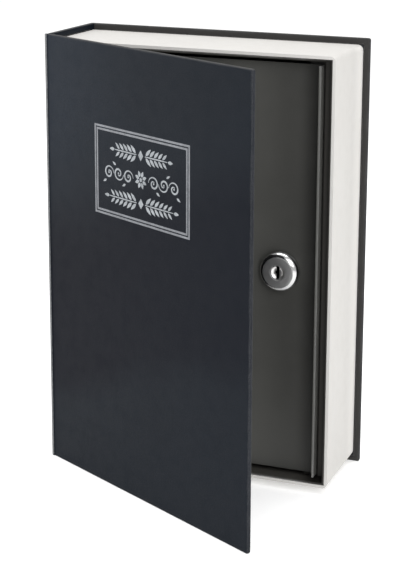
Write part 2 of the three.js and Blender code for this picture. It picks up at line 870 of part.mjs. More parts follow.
// The plug: a dished front with the keyway, slots for the wafers and a square tail for the cam.
function lockPlug() {
  const front = plugInset - lockProud;
  let body = turned(
    [
      [0, front + dishDepth],
      [dishFloorRadius, front + dishDepth],
      [dishRadius, front],
      [mouthRadius - plugFit, front],
      [mouthRadius - plugFit, plugShoulder],
      [plugRadius, plugShoulder],
      [plugRadius, barrelLength],
      [0, barrelLength],
    ],
    fineSides,
  );
  const tailEnd = camBack - tailShort;
  const tail = tailHalfWidth;
  body = body.add(block(-tail, tail, barrelLength - cutMargin, tailEnd, -tail, tail));
  const keywayEnd = screwHoleEnd - keywayEndWall;
  const half = keywayWidth / 2;
  body = body.subtract(
    block(-half, half, front - cutMargin, keywayEnd, -keywayHeight / 2, keywayHeight / 2),
  );
  body = body.subtract(
    block(-half - wardWidth, half, front - cutMargin, keywayEnd, -wardHeight / 2, wardHeight / 2),
  );
  const slotX = waferWidth / 2 + waferClearance;
  const slotY = waferThickness / 2 + waferClearance;
  const slotZ = 2 * plugRadius;
  for (const y of waferPlaces) {
    body = body.subtract(block(-slotX, slotX, y - slotY, y + slotY, -slotZ, slotZ));
  }
  body = body.subtract(bar('y', screwHoleRadius, 0, 0, screwHoleEnd, tailEnd + cutMargin));
  return piece('lock_plug', shell(body), 'steel');
}

// The wafers that the key lifts.
function wafers() {
  const halfWidth = waferWidth / 2;
  const halfHeight = waferHeight / 2;
  const windowX = waferWindowWidth / 2;
  const windowZ = waferWindowHeight / 2;
  return waferPlaces.map((y, i) => {
    const y0 = y - waferThickness / 2;
    const y1 = y + waferThickness / 2;
    const plate = block(-halfWidth, halfWidth, y0, y1, -halfHeight, halfHeight);
    const window = block(-windowX, windowX, y0 - cutMargin, y1 + cutMargin, -windowZ, windowZ);
    return piece(`wafer_${i + 1}`, shell(plate.subtract(window)), 'brass');
  });
}

// A quarter circle of points about a centre.
function cornerArc(a, b, radius, start) {
  return Array.from({ length: bendSteps + 1 }, (_, i) => {
    const turn = start + (0.5 * Math.PI * i) / bendSteps;
    return [a + radius * Math.cos(turn), b + radius * Math.sin(turn)];
  });
}

// The cam's outline seen from the front, with a rounder heel than tip.
function camOutline() {
  const heel = camHeelRadius;
  const tip = camTipRadius;
  return shapeOf([
    ...cornerArc(camHalfWidth - heel, heel - camHeel, heel, 1.5 * Math.PI),
    ...cornerArc(camHalfWidth - tip, camReach - tip, tip, 0),
    ...cornerArc(tip - camHalfWidth, camReach - tip, tip, 0.5 * Math.PI),
    ...cornerArc(heel - camHalfWidth, heel - camHeel, heel, Math.PI),
  ]);
}

// The cam: a stepped bar on the plug's tail, upright when unlocked.
function cam() {
  const tipFront = lidThickness + seatGap + catchThickness + camCatchGap;
  const stepEnd = camStepStart + camStepLength;
  const side = [
    [camFront, -camHeel],
    [camFront, camStepStart],
    [tipFront, stepEnd],
    [tipFront, camReach],
    [tipFront + camThickness, camReach],
    [tipFront + camThickness, stepEnd + camThickness / 2],
    [camBack, camStepStart + camThickness / 2],
    [camBack, -camHeel],
  ];
  const profile = slab(shapeOf(side), 'x', -camHalfWidth, camHalfWidth);
  const plan = slab(camOutline(), 'y', tipFront - cutMargin, camBack + cutMargin);
  const half = tailHalfWidth + tailFit;
  const hole = block(-half, half, camFront - cutMargin, camBack + cutMargin, -half, half);
  return piece('cam', shell(profile.intersect(plan).subtract(hole)), 'steel');
}

// The washer and the slotted screw that hold the cam on the plug's tail.
function camFasteners() {
  const washerY = camBack + seatGap;
  const headY = washerY + camWasherThickness + seatGap;
  const ring = bar('y', camWasherRadius, 0, 0, washerY, washerY + camWasherThickness);
  const hole = bar('y', screwHoleRadius, 0, 0, washerY - cutMargin, headY);
  const tip = screwHoleEnd + screwTipGap;
  const headEnd = headY + screwHeadHeight;
  const screw = turned([
    [0, tip],
    [screwShankRadius, tip],
    [screwShankRadius, headY],
    [screwHeadRadius, headY],
    [screwHeadRadius, headEnd - screwHeadChamfer],
    [screwHeadRadius - screwHeadChamfer, headEnd],
    [0, headEnd],
  ]);
  const half = screwSlotWidth / 2;
  const reach = screwHeadRadius + cutMargin;
  const slot = block(-reach, reach, headEnd - screwSlotDepth, headEnd + cutMargin, -half, half);
  return [
    piece('cam_washer', shell(ring.subtract(hole)), 'steel'),
    piece('cam_screw', shell(screw.subtract(slot)), 'steel'),
  ];
}

// The plug and all that turns with it.
function turningLock() {
  const group = new THREE.Group();
  group.add(lockPlug(), ...wafers(), cam(), ...camFasteners());
  group.position.copy(lockPlace);
  return group;
}

const safe = new THREE.Group();
safe.add(backCover(), spine(), rearJoint(), frontJoint(), frontCover());
safe.add(pageShell(), boxTray(), ...trayRivets());
safe.add(catchAngle(), ...catchRivets(), fixedLeaf(), ...leafRivets(), hingePin());
safe.add(movingLeaf(), lidPlate(), ...lidRivets());
safe.add(lockBody(), lockWasher(), lockNut(), turningLock());
safe.position.set(-coverThickness / 2, -bookDepth / 2, 0);

export default safe;
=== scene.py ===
"""Book diversion safe: its looks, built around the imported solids.

Every size is in millimetres in the frame of the closed book: X from the spine's outer face to the
fore-edge, Y from the front cover's outer face to the back cover's, Z up from the standing surface.
"""

import logging
import math
from collections.abc import Callable, Iterable, Sequence
from dataclasses import dataclass, field
from enum import Enum
from functools import reduce
from typing import ClassVar

import bmesh
import bpy
from mathutils import Matrix, Vector


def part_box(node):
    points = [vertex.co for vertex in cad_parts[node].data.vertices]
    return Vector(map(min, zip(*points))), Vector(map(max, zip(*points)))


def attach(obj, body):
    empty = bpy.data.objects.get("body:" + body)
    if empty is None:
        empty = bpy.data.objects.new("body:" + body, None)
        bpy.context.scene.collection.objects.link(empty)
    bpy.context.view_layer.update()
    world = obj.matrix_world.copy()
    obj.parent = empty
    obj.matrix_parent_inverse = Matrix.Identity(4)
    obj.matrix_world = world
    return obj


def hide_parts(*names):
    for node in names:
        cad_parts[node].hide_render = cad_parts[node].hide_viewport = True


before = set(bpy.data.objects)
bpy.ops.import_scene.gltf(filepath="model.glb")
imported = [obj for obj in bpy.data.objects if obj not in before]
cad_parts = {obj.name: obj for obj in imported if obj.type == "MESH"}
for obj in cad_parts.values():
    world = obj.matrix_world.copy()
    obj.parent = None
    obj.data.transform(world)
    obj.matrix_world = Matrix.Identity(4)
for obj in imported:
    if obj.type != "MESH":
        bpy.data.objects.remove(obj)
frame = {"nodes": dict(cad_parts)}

MM = 0.001
SHARP_DEG = 35.0  # edges sharper than this are rounded, or stay sharp where nothing rounds them
TINY = 1e-4  # sizes below this count as 0
NEAR = 0.1  # how closely an edge is looked for
PAST = 1.0  # how far a cutter reaches past what it cuts
Pair = tuple[float, float]
Triple = tuple[float, float, float]
Colour = tuple[float, float, float, float]
Object = bpy.types.Object
Material = bpy.types.Material
Socket = bpy.types.NodeSocket
Sockets = bpy.types.bpy_prop_collection
log = logging.getLogger("book_safe")


class Body(Enum):
    """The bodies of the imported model."""

    SAFE = "safe"
    JOINT = "cover_joint"
    COVER = "front_cover"
    LID = "lid"
    LOCK = "lock_core"


class Axis(Enum):
    """The axis that a prism runs along."""

    Y = "Y"
    Z = "Z"

    def point(self, first: float, second: float, along: float) -> Triple:
        """Gives a point of an outline at a place along the axis."""
        return (first, along, second) if self is Axis.Y else (first, second, along)


class Boolean(Enum):
    """The ways to combine two meshes."""

    JOIN = "UNION"
    CUT = "DIFFERENCE"


@dataclass(frozen=True)
class Book:
    """The sizes that the case, the page block and the box share."""

    height: float = 236.0
    width: float = 162.0
    depth: float = 55.0
    cover: float = 2.5
    cloth: float = 0.4
    turn_in: float = 3.0
    corner: float = 1.2
    lip_inset: float = 0.3
    roll_radius: float = 1.0
    roll_inset: float = 0.35
    roll_rim: float = 0.3
    cover_start: float = 1.5
    page_start: float = 2.8
    ajar_deg: float = 28.0

    @property
    def frame(self) -> Matrix:
        """Turns the closed book's millimetres into the part's metres."""
        shift = Vector((-self.cover / 2, -self.depth / 2, 0))
        return Matrix.Scale(MM, 4) @ Matrix.Translation(shift)

    @property
    def roll_frame(self) -> Matrix:
        """Turns millimetres counted from the roll of the front joint into the part's metres."""
        return self.frame @ Matrix.Translation((self.roll_inset, self.roll_inset, 0))

    @property
    def cover_frame(self) -> Matrix:
        """Turns millimetres counted from the roll along the front cover into the part's metres."""
        return self.roll_frame @ Matrix.Rotation(-math.radians(self.ajar_deg), 4, "Z")


BOOK = Book()


# Meshes


def new_object(name: str, data: bpy.types.ID) -> Object:
    """Links a mesh, a light or a camera into the scene.

    Args:
        name: Its name.
        data: The mesh, light or camera.

    Returns:
        The object.
    """
    thing = bpy.data.objects.new(name, data)
    bpy.context.scene.collection.objects.link(thing)
    return thing


def from_faces(name: str, points: Sequence[Triple], faces: Sequence) -> Object:
    """Makes an object from points and faces, with its faces turned outwards.

    Args:
        name: Its name.
        points: The corners.
        faces: The corners' numbers for each face.

    Returns:
        The object.
    """
    mesh = bpy.data.meshes.new(name)
    mesh.from_pydata(points, [], [tuple(face) for face in faces])
    shape = bmesh.new()
    shape.from_mesh(mesh)
    bmesh.ops.recalc_face_normals(shape, faces=shape.faces)
    shape.to_mesh(mesh)
    shape.free()
    return new_object(name, mesh)


def prisms(name: str, outlines: Sequence, axis: Axis, low: float, high: float) -> Object:
    """Extrudes outlines along an axis, into one object.

    Args:
        name: Its name.
        outlines: The outlines, as pairs in the two other directions.
        axis: The axis that they run along.
        low: Where they start.
        high: Where they end.

    Returns:
        The closed object.
    """
    points, faces = [], []
    for outline in outlines:
        start, count = len(points), len(outline)
        points += [axis.point(a, b, level) for level in (low, high) for a, b in outline]
        faces += [range(start, start + count), range(start + 2 * count - 1, start + count - 1, -1)]
        for i in range(count):
            j = (i + 1) % count
            faces.append([start + corner for corner in (i, j, count + j, count + i)])
    return from_faces(name, points, faces)


def prism(name: str, outline: Sequence[Pair], axis: Axis, low: float, high: float) -> Object:
    """Extrudes one outline along an axis."""
    return prisms(name, [outline], axis, low, high)


def block(name: str, low: Triple, high: Triple) -> Object:
    """Makes a box between two corners."""
    outline = [low[:2], (high[0], low[1]), high[:2], (low[0], high[1])]
    return prism(name, outline, Axis.Z, low[2], high[2])


def arc(centre: Pair, radius: float, start: float, end: float, steps: int = 6) -> list[Pair]:
    """Gives the points of an arc, from one angle in degrees to another."""
    turns = [math.radians(start + (end - start) * i / steps) for i in range(steps + 1)]
    return [(centre[0] + radius * math.cos(t), centre[1] + radius * math.sin(t)) for t in turns]


def ring(centre: Pair, radius: float, sides: int) -> list[Pair]:
    """Gives the points of a whole circle."""
    return arc(centre, radius, 0, 360 - 360 / sides, sides - 1)


def rounded(low: Pair, high: Pair, radius: float, steps: int = 8) -> list[Pair]:
    """Outlines a rectangle that is square at its left side and rounded at its right.

    Args:
        low: Its lowest corner.
        high: Its highest corner.
        radius: The radius of the two corners at its right.
        steps: The sides of each round corner.

    Returns:
        The outline's points in turn.
    """
    side = high[0] - radius
    foot = arc((side, low[1] + radius), radius, 270, 360, steps)
    head = arc((side, high[1] - radius), radius, 0, 90, steps)
    return [low, *foot, *head, (low[0], high[1])]


def revolve(
    name: str, profile: Sequence[Pair], sides: int, shape: Callable | None = None
) -> Object:
    """Turns a closed profile about the Y axis.

    Args:
        name: Its name.
        profile: Pairs of radius and place along the axis; a radius of 0 is a pole.
        sides: The number of sides.
        shape: Gives a point from its row, its angle, its radius and its place.

    Returns:
        The closed object.
    """
    points, rows = [], []
    for row, (radius, along) in enumerate(profile):
        count = sides if radius > TINY else 1
        rows.append([len(points) + i % count for i in range(sides)])
        for i in range(count):
            turn = 2 * math.pi * i / sides
            point = (radius * math.cos(turn), along, radius * math.sin(turn))
            points.append(shape(row, turn, radius, along) if shape else point)
    faces = []
    for low, high in zip(rows, rows[1:] if profile[0][0] < TINY else [*rows[1:], rows[0]]):
        for i in range(sides):
            j = (i + 1) % sides
            faces.append(dict.fromkeys((low[i], low[j], high[j], high[i])))
    return from_faces(name, points, faces)


def combine(target: Object, others: Iterable[Object], way: Boolean) -> None:
    """Joins or cuts an object by others, which are then deleted.

    Args:
        target: The object that is changed.
        others: The others.
        way: Whether they join or cut.
    """
    for other in others:
        step = target.modifiers.new("combine", "BOOLEAN")
        step.operation, step.solver, step.object = way.value, "EXACT", other
        graph = bpy.context.evaluated_depsgraph_get()
        mesh = bpy.data.meshes.new_from_object(target.evaluated_get(graph))
        target.modifiers.clear()
        target.data = mesh
        bpy.data.objects.remove(other)


def flush(a: Vector, b: Vector) -> bool:
    """Says whether an edge keeps to one depth."""
    return abs(a.y - b.y) < TINY


def round_edges(target: Object, radius: float, choose: Callable[[Vector, Vector], bool]) -> None:
    """Rounds chosen edges of an object's mesh.

    Args:
        target: The object.
        radius: How far the rounding reaches from the edge.
        choose: Says, from an edge's two ends, whether it is rounded.
    """
    flat, square = math.radians(0.5), math.radians(40)
    shape = bmesh.new()
    shape.from_mesh(target.data)
    bmesh.ops.dissolve_limit(shape, angle_limit=flat, verts=shape.verts, edges=shape.edges)
    sharp = [
        edge
        for edge in shape.edges
        if len(edge.link_faces) == 2
        and edge.calc_face_angle(0) > square
        and choose(edge.verts[0].co, edge.verts[1].co)
    ]
    look = {"segments": 4, "profile": 0.5, "affect": "EDGES", "clamp_overlap": True}
    bmesh.ops.bevel(shape, geom=sharp, offset=radius, **look)
    shape.to_mesh(target.data)
    shape.free()


def smooth(target: Object, angle_deg: float = SHARP_DEG) -> None:
    """Shades an object smooth, apart from edges sharper than an angle."""
    target.data.shade_smooth()
    target.data.set_sharp_from_angle(angle=math.radians(angle_deg))


def place(
    piece: Object, matrix: Matrix, body: Body, slot: str, material: Material, *nodes: str
) -> None:
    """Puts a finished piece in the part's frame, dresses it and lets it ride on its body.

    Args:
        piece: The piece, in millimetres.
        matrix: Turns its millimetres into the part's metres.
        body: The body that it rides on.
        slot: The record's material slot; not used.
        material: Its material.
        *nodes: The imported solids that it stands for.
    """
    piece.data.transform(matrix)
    piece.data.update()
    piece.data.materials.clear()
    piece.data.materials.append(material)
    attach(piece, body.value)
    if nodes:
        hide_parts(*nodes)
    log.info("%s rides on %s", piece.name, body.value)


def dress(names: Iterable[str], material: Material, width: float) -> None:
    """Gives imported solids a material, and rounded edges that leave their own meshes as they are.

    Args:
        names: The solids' names.
        material: Their material.
        width: The rounding's width in millimetres.
    """
    for name in names:
        node = frame["nodes"][name]
        node.data.materials.clear()
        node.data.materials.append(material)
        node.data.shade_smooth()
        weld = node.modifiers.new("weld", "WELD")
        weld.merge_threshold = 2e-6
        bevel = node.modifiers.new("rounding", "BEVEL")
        bevel.width, bevel.segments = width * MM, 3
        bevel.limit_method, bevel.angle_limit = "ANGLE", math.radians(SHARP_DEG)
        flat = node.modifiers.new("flat_faces", "WEIGHTED_NORMAL")
        flat.mode, flat.weight = "FACE_AREA", 100
        log.info("%s keeps its solid", name)


# Node trees


class Sheet:
    """A node tree with short ways to add nodes to it."""

    def __init__(self, tree: bpy.types.NodeTree, frame_matrix: Matrix | None = None) -> None:
        """Takes the tree to add nodes to.

        Args:
            tree: The node tree.
            frame_matrix: Turns the millimetres of its patterns into the part's metres. A group's
                sheet needs none.
        """
        self.tree = tree
        self.place = None
        if frame_matrix:
            back = frame_matrix.inverted()
            values = {
                "Vector": self.add("ShaderNodeTexCoord").outputs["Object"],
                "Location": back.translation,
                "Rotation": back.to_euler(),
                "Scale": back.to_scale(),
            }
            self.place = self.add("ShaderNodeMapping", values).outputs[0]

    def add(self, kind: str, values: dict | None = None, **settings: object) -> bpy.types.Node:
        """Adds a node.

        Args:
            kind: The node's type.
            values: For each input, by name or number, a value or the socket that feeds it.
            **settings: The node's own settings.

        Returns:
            The node.
        """
        node = self.tree.nodes.new(kind)
        for name, value in settings.items():
            setattr(node, name, value)
        for key, value in (values or {}).items():
            if isinstance(value, Socket):
                self.tree.links.new(value, node.inputs[key])
            else:
                node.inputs[key].default_value = value
        return node

    def calc(self, operation: str, *values: object, clamp: bool = False) -> Socket:
        """Adds a Math node and gives its result."""
        numbered = dict(enumerate(values))
        return self.add("ShaderNodeMath", numbered, operation=operation, use_clamp=clamp).outputs[0]

    def product(self, *values: object) -> Socket:
        """Multiplies values in turn."""
        return reduce(lambda first, second: self.calc("MULTIPLY", first, second), values)

    def rest(self, value: object) -> Socket:
        """Gives what is left of 1, and 0 at least."""
        return self.calc("SUBTRACT", 1.0, value, clamp=True)

    def vector(self, operation: str, *values: object) -> Socket:
        """Adds a Vector Math node and gives its result."""
        numbered = dict(enumerate(values))
        return self.add("ShaderNodeVectorMath", numbered, operation=operation).outputs[0]

    def scale(self, value: Socket, gain: object) -> Socket:
        """Makes a vector longer, or a colour lighter."""
        values = {0: value, "Scale": gain}
        return self.add("ShaderNodeVectorMath", values, operation="SCALE").outputs[0]

    def split(self, value: Socket | None = None) -> Sockets:
        """Gives the three parts of a vector, by default those of the place."""
        return self.add("ShaderNodeSeparateXYZ", {0: value or self.place}).outputs

    def facing(self) -> Sockets:
        """Gives the three parts of the direction that the surface faces."""
        return self.split(self.add("ShaderNodeNewGeometry").outputs["Normal"])

    def ramp(self, value: object, low: float, high: float, *results: float) -> Socket:
        """Maps a value smoothly from one range to another.

        Args:
            value: The value's socket.
            low: Where the range starts.
            high: Where it ends.
            *results: The results at its start and its end, if they aren't 0 and 1.

        Returns:
            The result's socket.
        """
        values = dict(enumerate((value, low, high, *(results or (0.0, 1.0)))))
        return self.add("ShaderNodeMapRange", values, interpolation_type="SMOOTHSTEP").outputs[0]

    def spread(self, value: object, at_0: float, at_1: float) -> Socket:
        """Maps a share from 0 to 1 smoothly to another range."""
        return self.ramp(value, 0, 1, at_0, at_1)

    def mix(self, share: object, first: object, second: object, blend: str = "MIX") -> Socket:
        """Mixes two colours by a share and gives the result."""
        values = {0: share, 6: first, 7: second}
        return self.add("ShaderNodeMix", values, data_type="RGBA", blend_type=blend).outputs[2]

    def noise(self, scale: object, detail: float = 2.0, at: Socket | None = None) -> Socket:
        """Adds noise, by default at the sheet's place, with a scale in waves for a millimetre."""
        values = {"Vector": at or self.place, "Scale": scale, "Detail": detail}
        return self.add("ShaderNodeTexNoise", values).outputs[0]


class Coat(Sheet):
    """A material with a Principled shader."""

    def __init__(self, name: str, frame_matrix: Matrix, **constants: object) -> None:
        """Makes the material.

        Args:
            name: The material's name.
            frame_matrix: Turns the millimetres of its patterns into the part's metres.
            **constants: Values for the shader's own sockets, with _ for each space in a name.
        """
        self.material = bpy.data.materials.new(name)
        self.material.use_nodes = True
        super().__init__(self.material.node_tree, frame_matrix)
        self.shader = next(n for n in self.tree.nodes if n.type == "BSDF_PRINCIPLED")
        for key, value in constants.items():
            self.shader.inputs[key.replace("_", " ")].default_value = value

    def feed(self, key: str, value: Socket) -> None:
        """Feeds one of the shader's sockets."""
        self.tree.links.new(value, self.shader.inputs[key])

    def finish(self, colour: Socket, rough: Socket, height: Socket, depth: float) -> Material:
        """Feeds the shader's colour, roughness and normal.

        Args:
            colour: The colour's socket.
            rough: The roughness's socket.
            height: The socket of the surface's height, from 0 to 1.
            depth: How deep 1 is, in millimetres.

        Returns:
            The material.
        """
        values = {"Height": height, "Distance": depth * MM, "Strength": 1.0}
        self.feed("Base Color", colour)
        self.feed("Roughness", rough)
        self.feed("Normal", self.add("ShaderNodeBump", values).outputs[0])
        return self.material


def build_edge_wear(sheet: Sheet, given: dict) -> list:
    """Finds the edges of a box, which are near two of its sides, and rubs them in patches.

    Args:
        sheet: The group's sheet.
        given: The sockets of its inputs.

    Returns:
        The mask.
    """
    above = sheet.vector("SUBTRACT", sheet.place, given["Low"])
    below = sheet.vector("SUBTRACT", given["High"], sheet.place)
    nearest = sheet.vector("MINIMUM", above, below)
    a, b, c = sheet.split(sheet.vector("MULTIPLY", nearest, given["Weight"]))
    upper = sheet.calc("MINIMUM", sheet.calc("MAXIMUM", a, b), c)
    second = sheet.calc("MAXIMUM", sheet.calc("MINIMUM", a, b), upper)
    patches = sheet.ramp(sheet.noise(0.12, 4.0), 0.3, 0.7, 0.65, 1.0)
    ragged = sheet.calc("ADD", second, sheet.product(sheet.noise(1.3), 0.25))
    depth = sheet.calc("DIVIDE", ragged, sheet.product(given["Reach"], patches))
    return [sheet.ramp(sheet.rest(depth), 0.0, 0.75)]


def build_grain(sheet: Sheet, given: dict) -> list:
    """Makes the pebbles of leather grain, with creases between them and pores on them.

    Args:
        sheet: The group's sheet.
        given: The sockets of its inputs.

    Returns:
        The height, and the share that is pebble.
    """
    values = {"Vector": sheet.place, "Scale": given["Scale"], "Detail": 1.0}
    bend = sheet.add("ShaderNodeTexNoise", values).outputs["Color"]
    moved = sheet.vector("ADD", sheet.place, sheet.scale(bend, 0.5))
    values = {"Vector": moved, "Scale": given["Scale"]}
    cells = sheet.add("ShaderNodeTexVoronoi", values, feature="DISTANCE_TO_EDGE")
    pebble = sheet.ramp(cells.outputs["Distance"], 0.0, 0.28)
    pores = sheet.noise(sheet.product(given["Scale"], 5.0))
    height = sheet.calc("ADD", sheet.product(pebble, 0.8), sheet.product(pores, 0.2))
    return [height, pebble]


def build_soiling(sheet: Sheet, given: dict) -> list:
    """Makes broad cloudy variation and fine specks.

    Args:
        sheet: The group's sheet.
        given: The sockets of its inputs.

    Returns:
        The two shares.
    """
    broad = sheet.ramp(sheet.noise(given["Scale"], 4.0), 0.3, 0.7)
    fine = sheet.ramp(sheet.noise(sheet.product(given["Scale"], 9.0), 3.0), 0.35, 0.75)
    return [broad, fine]


def build_dust_and_top_light(sheet: Sheet, given: dict) -> list:
    """Lets dust lie in loose patches on the faces that look up, lightening them also as painted top
    light.
    """
    loose = sheet.ramp(sheet.noise(given["Scale"], 5.0), 0.25, 0.75, 0.5, 1.0)
    return [sheet.product(sheet.ramp(sheet.facing()["Z"], 0.3, 0.95), loose)]


def build_streaks(sheet: Sheet, given: dict) -> list:
    """Makes the fine lines of brushed metal, drawn out along the first direction.

    Args:
        sheet: The group's sheet.
        given: The sockets of its inputs.

    Returns:
        The height, and a mask of the lines.
    """
    stretch = sheet.add("ShaderNodeMapping", {"Vector": sheet.place, "Scale": (0.05, 1.0, 1.0)})
    lines = sheet.noise(given["Scale"], 3.0, stretch.outputs[0])
    return [lines, sheet.ramp(lines, 0.3, 0.7)]


def build_turning(sheet: Sheet, given: dict) -> list:
    """Makes the fine rings of turned metal round the Y axis.

    Args:
        sheet: The group's sheet.
        given: The sockets of its inputs.

    Returns:
        The height, and a mask of the rings.
    """
    x, y, z = sheet.split()
    squares = sheet.calc("ADD", sheet.product(x, x), sheet.product(z, z))
    turn = sheet.product(sheet.calc("ARCTAN2", z, x), 0.12)
    where = sheet.add("ShaderNodeCombineXYZ", {0: sheet.calc("SQRT", squares), 1: y, 2: turn})
    rings = sheet.noise(given["Scale"], 3.0, where.outputs[0])
    return [rings, sheet.ramp(rings, 0.3, 0.7)]


class Effect(Enum):
    """The effects that materials share: name, inputs, outputs and builder.

    Besides the inputs named here, each has Place, its coordinates in millimetres.
    """

    WEAR = (
        "edge_wear",
        {"Low": (0.0, 0.0, 0.0), "High": (1.0, 1.0, 1.0), "Weight": (1.0, 1.0, 1.0), "Reach": 1.0},
        ["Mask"],
        build_edge_wear,
    )
    GRAIN = ("leather_grain", {"Scale": 1.5}, ["Height", "Pebble"], build_grain)
    SOILING = ("soiling", {"Scale": 0.025}, ["Broad", "Fine"], build_soiling)
    DUST_AND_TOP_LIGHT = ("dust_and_top_light", {"Scale": 0.08}, ["Mask"], build_dust_and_top_light)
    STREAKS = ("streaks", {"Scale": 4.0}, ["Height", "Mask"], build_streaks)
    TURNING = ("turning", {"Scale": 4.0}, ["Height", "Mask"], build_turning)

    def group(self) -> bpy.types.NodeTree:
        """Makes the effect's node group at its first use.

        Returns:
            The group.
        """
        name, inputs, outputs, build = self.value
        if name in bpy.data.node_groups:
            return bpy.data.node_groups[name]
        tree = bpy.data.node_groups.new(name, "ShaderNodeTree")
        for key, value in {"Place": (0.0, 0.0, 0.0), **inputs}.items():
            kind = "NodeSocketVector" if isinstance(value, tuple) else "NodeSocketFloat"
            socket = tree.interface.new_socket(name=key, in_out="INPUT", socket_type=kind)
            socket.default_value = value
        for key in outputs:
            tree.interface.new_socket(name=key, in_out="OUTPUT", socket_type="NodeSocketFloat")
        sheet = Sheet(tree)
        given = sheet.add("NodeGroupInput").outputs
        sheet.place = given["Place"]
        results = build(sheet, {key: given[key] for key in inputs})
        sheet.add("NodeGroupOutput", dict(zip(outputs, results)))
        return tree

    def use(self, sheet: Sheet, **values: object) -> Sockets:
        """Places the effect's group in a material, given its inputs, and gives its outputs."""
        values["Place"] = sheet.place
        return sheet.add("ShaderNodeGroup", values, node_tree=self.group()).outputs


@dataclass(frozen=True)
class Panel:
    """The box, in millimetres of a frame, whose edges are rubbed.

    A weight under 1 makes the rubbing cross more of a side in that direction.
    """

    low: Triple = (0.0, 0.0, 0.0)
    high: Triple = (162.0, 55.0, 236.0)
    weight: Triple = (1.0, 0.35, 1.0)
    frame: Matrix = field(default_factory=lambda: BOOK.frame)

    def rubbed(self, sheet: Sheet, reach: float) -> Socket:
        """Gives the mask of its edges, rubbed as far in as a reach in millimetres."""
        values = {"Low": self.low, "High": self.high, "Weight": self.weight, "Reach": reach}
        return Effect.WEAR.use(sheet, **values)["Mask"]


# Finishes


def shade(value: float, warmth: float = 0.0) -> Colour:
    """Gives a grey of a linear value, warmer above 0 and cooler below."""
    return (value * (1 + warmth), value, value * (1 - warmth), 1.0)


def stronger(colour: Colour, gain: float) -> Colour:
    """Gives a colour made lighter or darker."""
    return (colour[0] * gain, colour[1] * gain, colour[2] * gain, 1.0)


@dataclass(frozen=True)
class Leatherette:
    """Grained cover cloth, rubbed lighter along its edges.

    It may carry painted shade over its middle and a painted sheen at its head, be turned in over a
    board, or be worn bare at a fold that also carries a painted highlight. Its spans say where that
    painted shade and painted sheen fade in. They run up and across the cover on a level that tilts,
    and that noise makes drift by some millimetres.
    """

    name: str = "leatherette"
    panel: Panel = Panel()
    colour: Colour = (0.0064, 0.0093, 0.0142, 1.0)
    worn: Colour = (0.075, 0.075, 0.077, 1.0)
    dust_and_top_light: Colour = (0.06, 0.06, 0.06, 1.0)
    inside: Colour = (0.037, 0.036, 0.035, 1.0)
    bare_and_highlight: Colour = (0.19, 0.195, 0.2, 1.0)
    # colour of the painted shade over the middle, if any
    painted_shading: Colour | None = None
    roughness: float = 0.47
    depth: float = 0.035
    reach: float = 1.5
    highlit_fold: float = 0.0
    turned_in: float = 0.0
    tilt: float = -0.35
    drift: float = 36.0
    shade_top: Pair = (172.0, 132.0)
    shade_foot: Pair = (42.0, 70.0)
    shade_across: Pair = (160.0, 20.0)
    sheen_up: Pair = (150.0, 215.0)
    sheen_across: Pair = (95.0, 0.0)

    def paint_sheen_and_shade(self, coat: Coat, cloth: Socket) -> Socket:
        """Darkens the middle with painted shade and lightens the head with a painted sheen.

        Args:
            coat: The material.
            cloth: The socket of the cloth's colour.

        Returns:
            The changed colour's socket.
        """
        # painted shade over the middle and painted sheen at the head, along a tilted, ragged level
        along, _, up = coat.split()
        tilted = coat.calc("MULTIPLY_ADD", along, self.tilt, up)
        level = coat.calc("MULTIPLY_ADD", coat.noise(0.02), self.drift, tilted)
        middle = coat.product(coat.ramp(level, *self.shade_top), coat.ramp(level, *self.shade_foot))
        shaded = coat.product(middle, coat.ramp(along, *self.shade_across, 0.65, 1.0))
        head = coat.product(coat.ramp(level, *self.sheen_up), coat.ramp(along, *self.sheen_across))
        return coat.mix(head, coat.mix(shaded, cloth, self.painted_shading), stronger(self.colour, 1.9))

    def make(self) -> Material:
        """Builds the material.

        Returns:
            The material.
        """
        coat = Coat(self.name, self.panel.frame, Specular_IOR_Level=0.06)
        grain = Effect.GRAIN.use(coat)
        soil = Effect.SOILING.use(coat, Scale=0.014)
        creases = coat.spread(grain["Pebble"], 0.5, 0)
        cloth = coat.mix(soil["Broad"], self.colour, stronger(self.colour, 1.1))
        # painted shade over the middle and painted sheen at the head
        if self.painted_shading:
            cloth = self.paint_sheen_and_shade(coat, cloth)
        cloth = coat.mix(creases, cloth, stronger(self.colour, 0.7))
        x, y, _ = coat.split()
        if self.turned_in:
            level = coat.ramp(y, self.turned_in + 0.5, self.turned_in + 0.1)
            dull = coat.product(level, coat.ramp(x, BOOK.cover + 0.1, BOOK.cover + 0.5))
            cloth = coat.mix(dull, cloth, self.inside)
        tops = coat.spread(grain["Pebble"], 0.35, 1)
        mask = coat.product(self.panel.rubbed(coat, self.reach), tops)
        cloth = coat.mix(mask, cloth, self.worn)
        # dust on the faces that look up, which also stands for painted top light
        cloth = coat.mix(Effect.DUST_AND_TOP_LIGHT.use(coat)["Mask"], cloth, self.dust_and_top_light)
        # bare cloth worn at the joint's fold, lighter still as a painted highlight where the roll
        # catches the light
        if self.highlit_fold:
            ragged = coat.calc("MULTIPLY_ADD", coat.noise(0.9, 3.0), 0.4, x)
            pale = coat.mix(soil["Fine"], self.bare_and_highlight, stronger(self.bare_and_highlight, 1.3))
            pale = coat.mix(creases, pale, stronger(self.bare_and_highlight, 0.5))
            cloth = coat.mix(coat.ramp(ragged, self.highlit_fold + 0.2, self.highlit_fold), cloth, pale)
        rough = coat.spread(soil["Fine"], self.roughness - 0.03, self.roughness + 0.03)
        return coat.finish(cloth, rough, grain["Height"], self.depth)


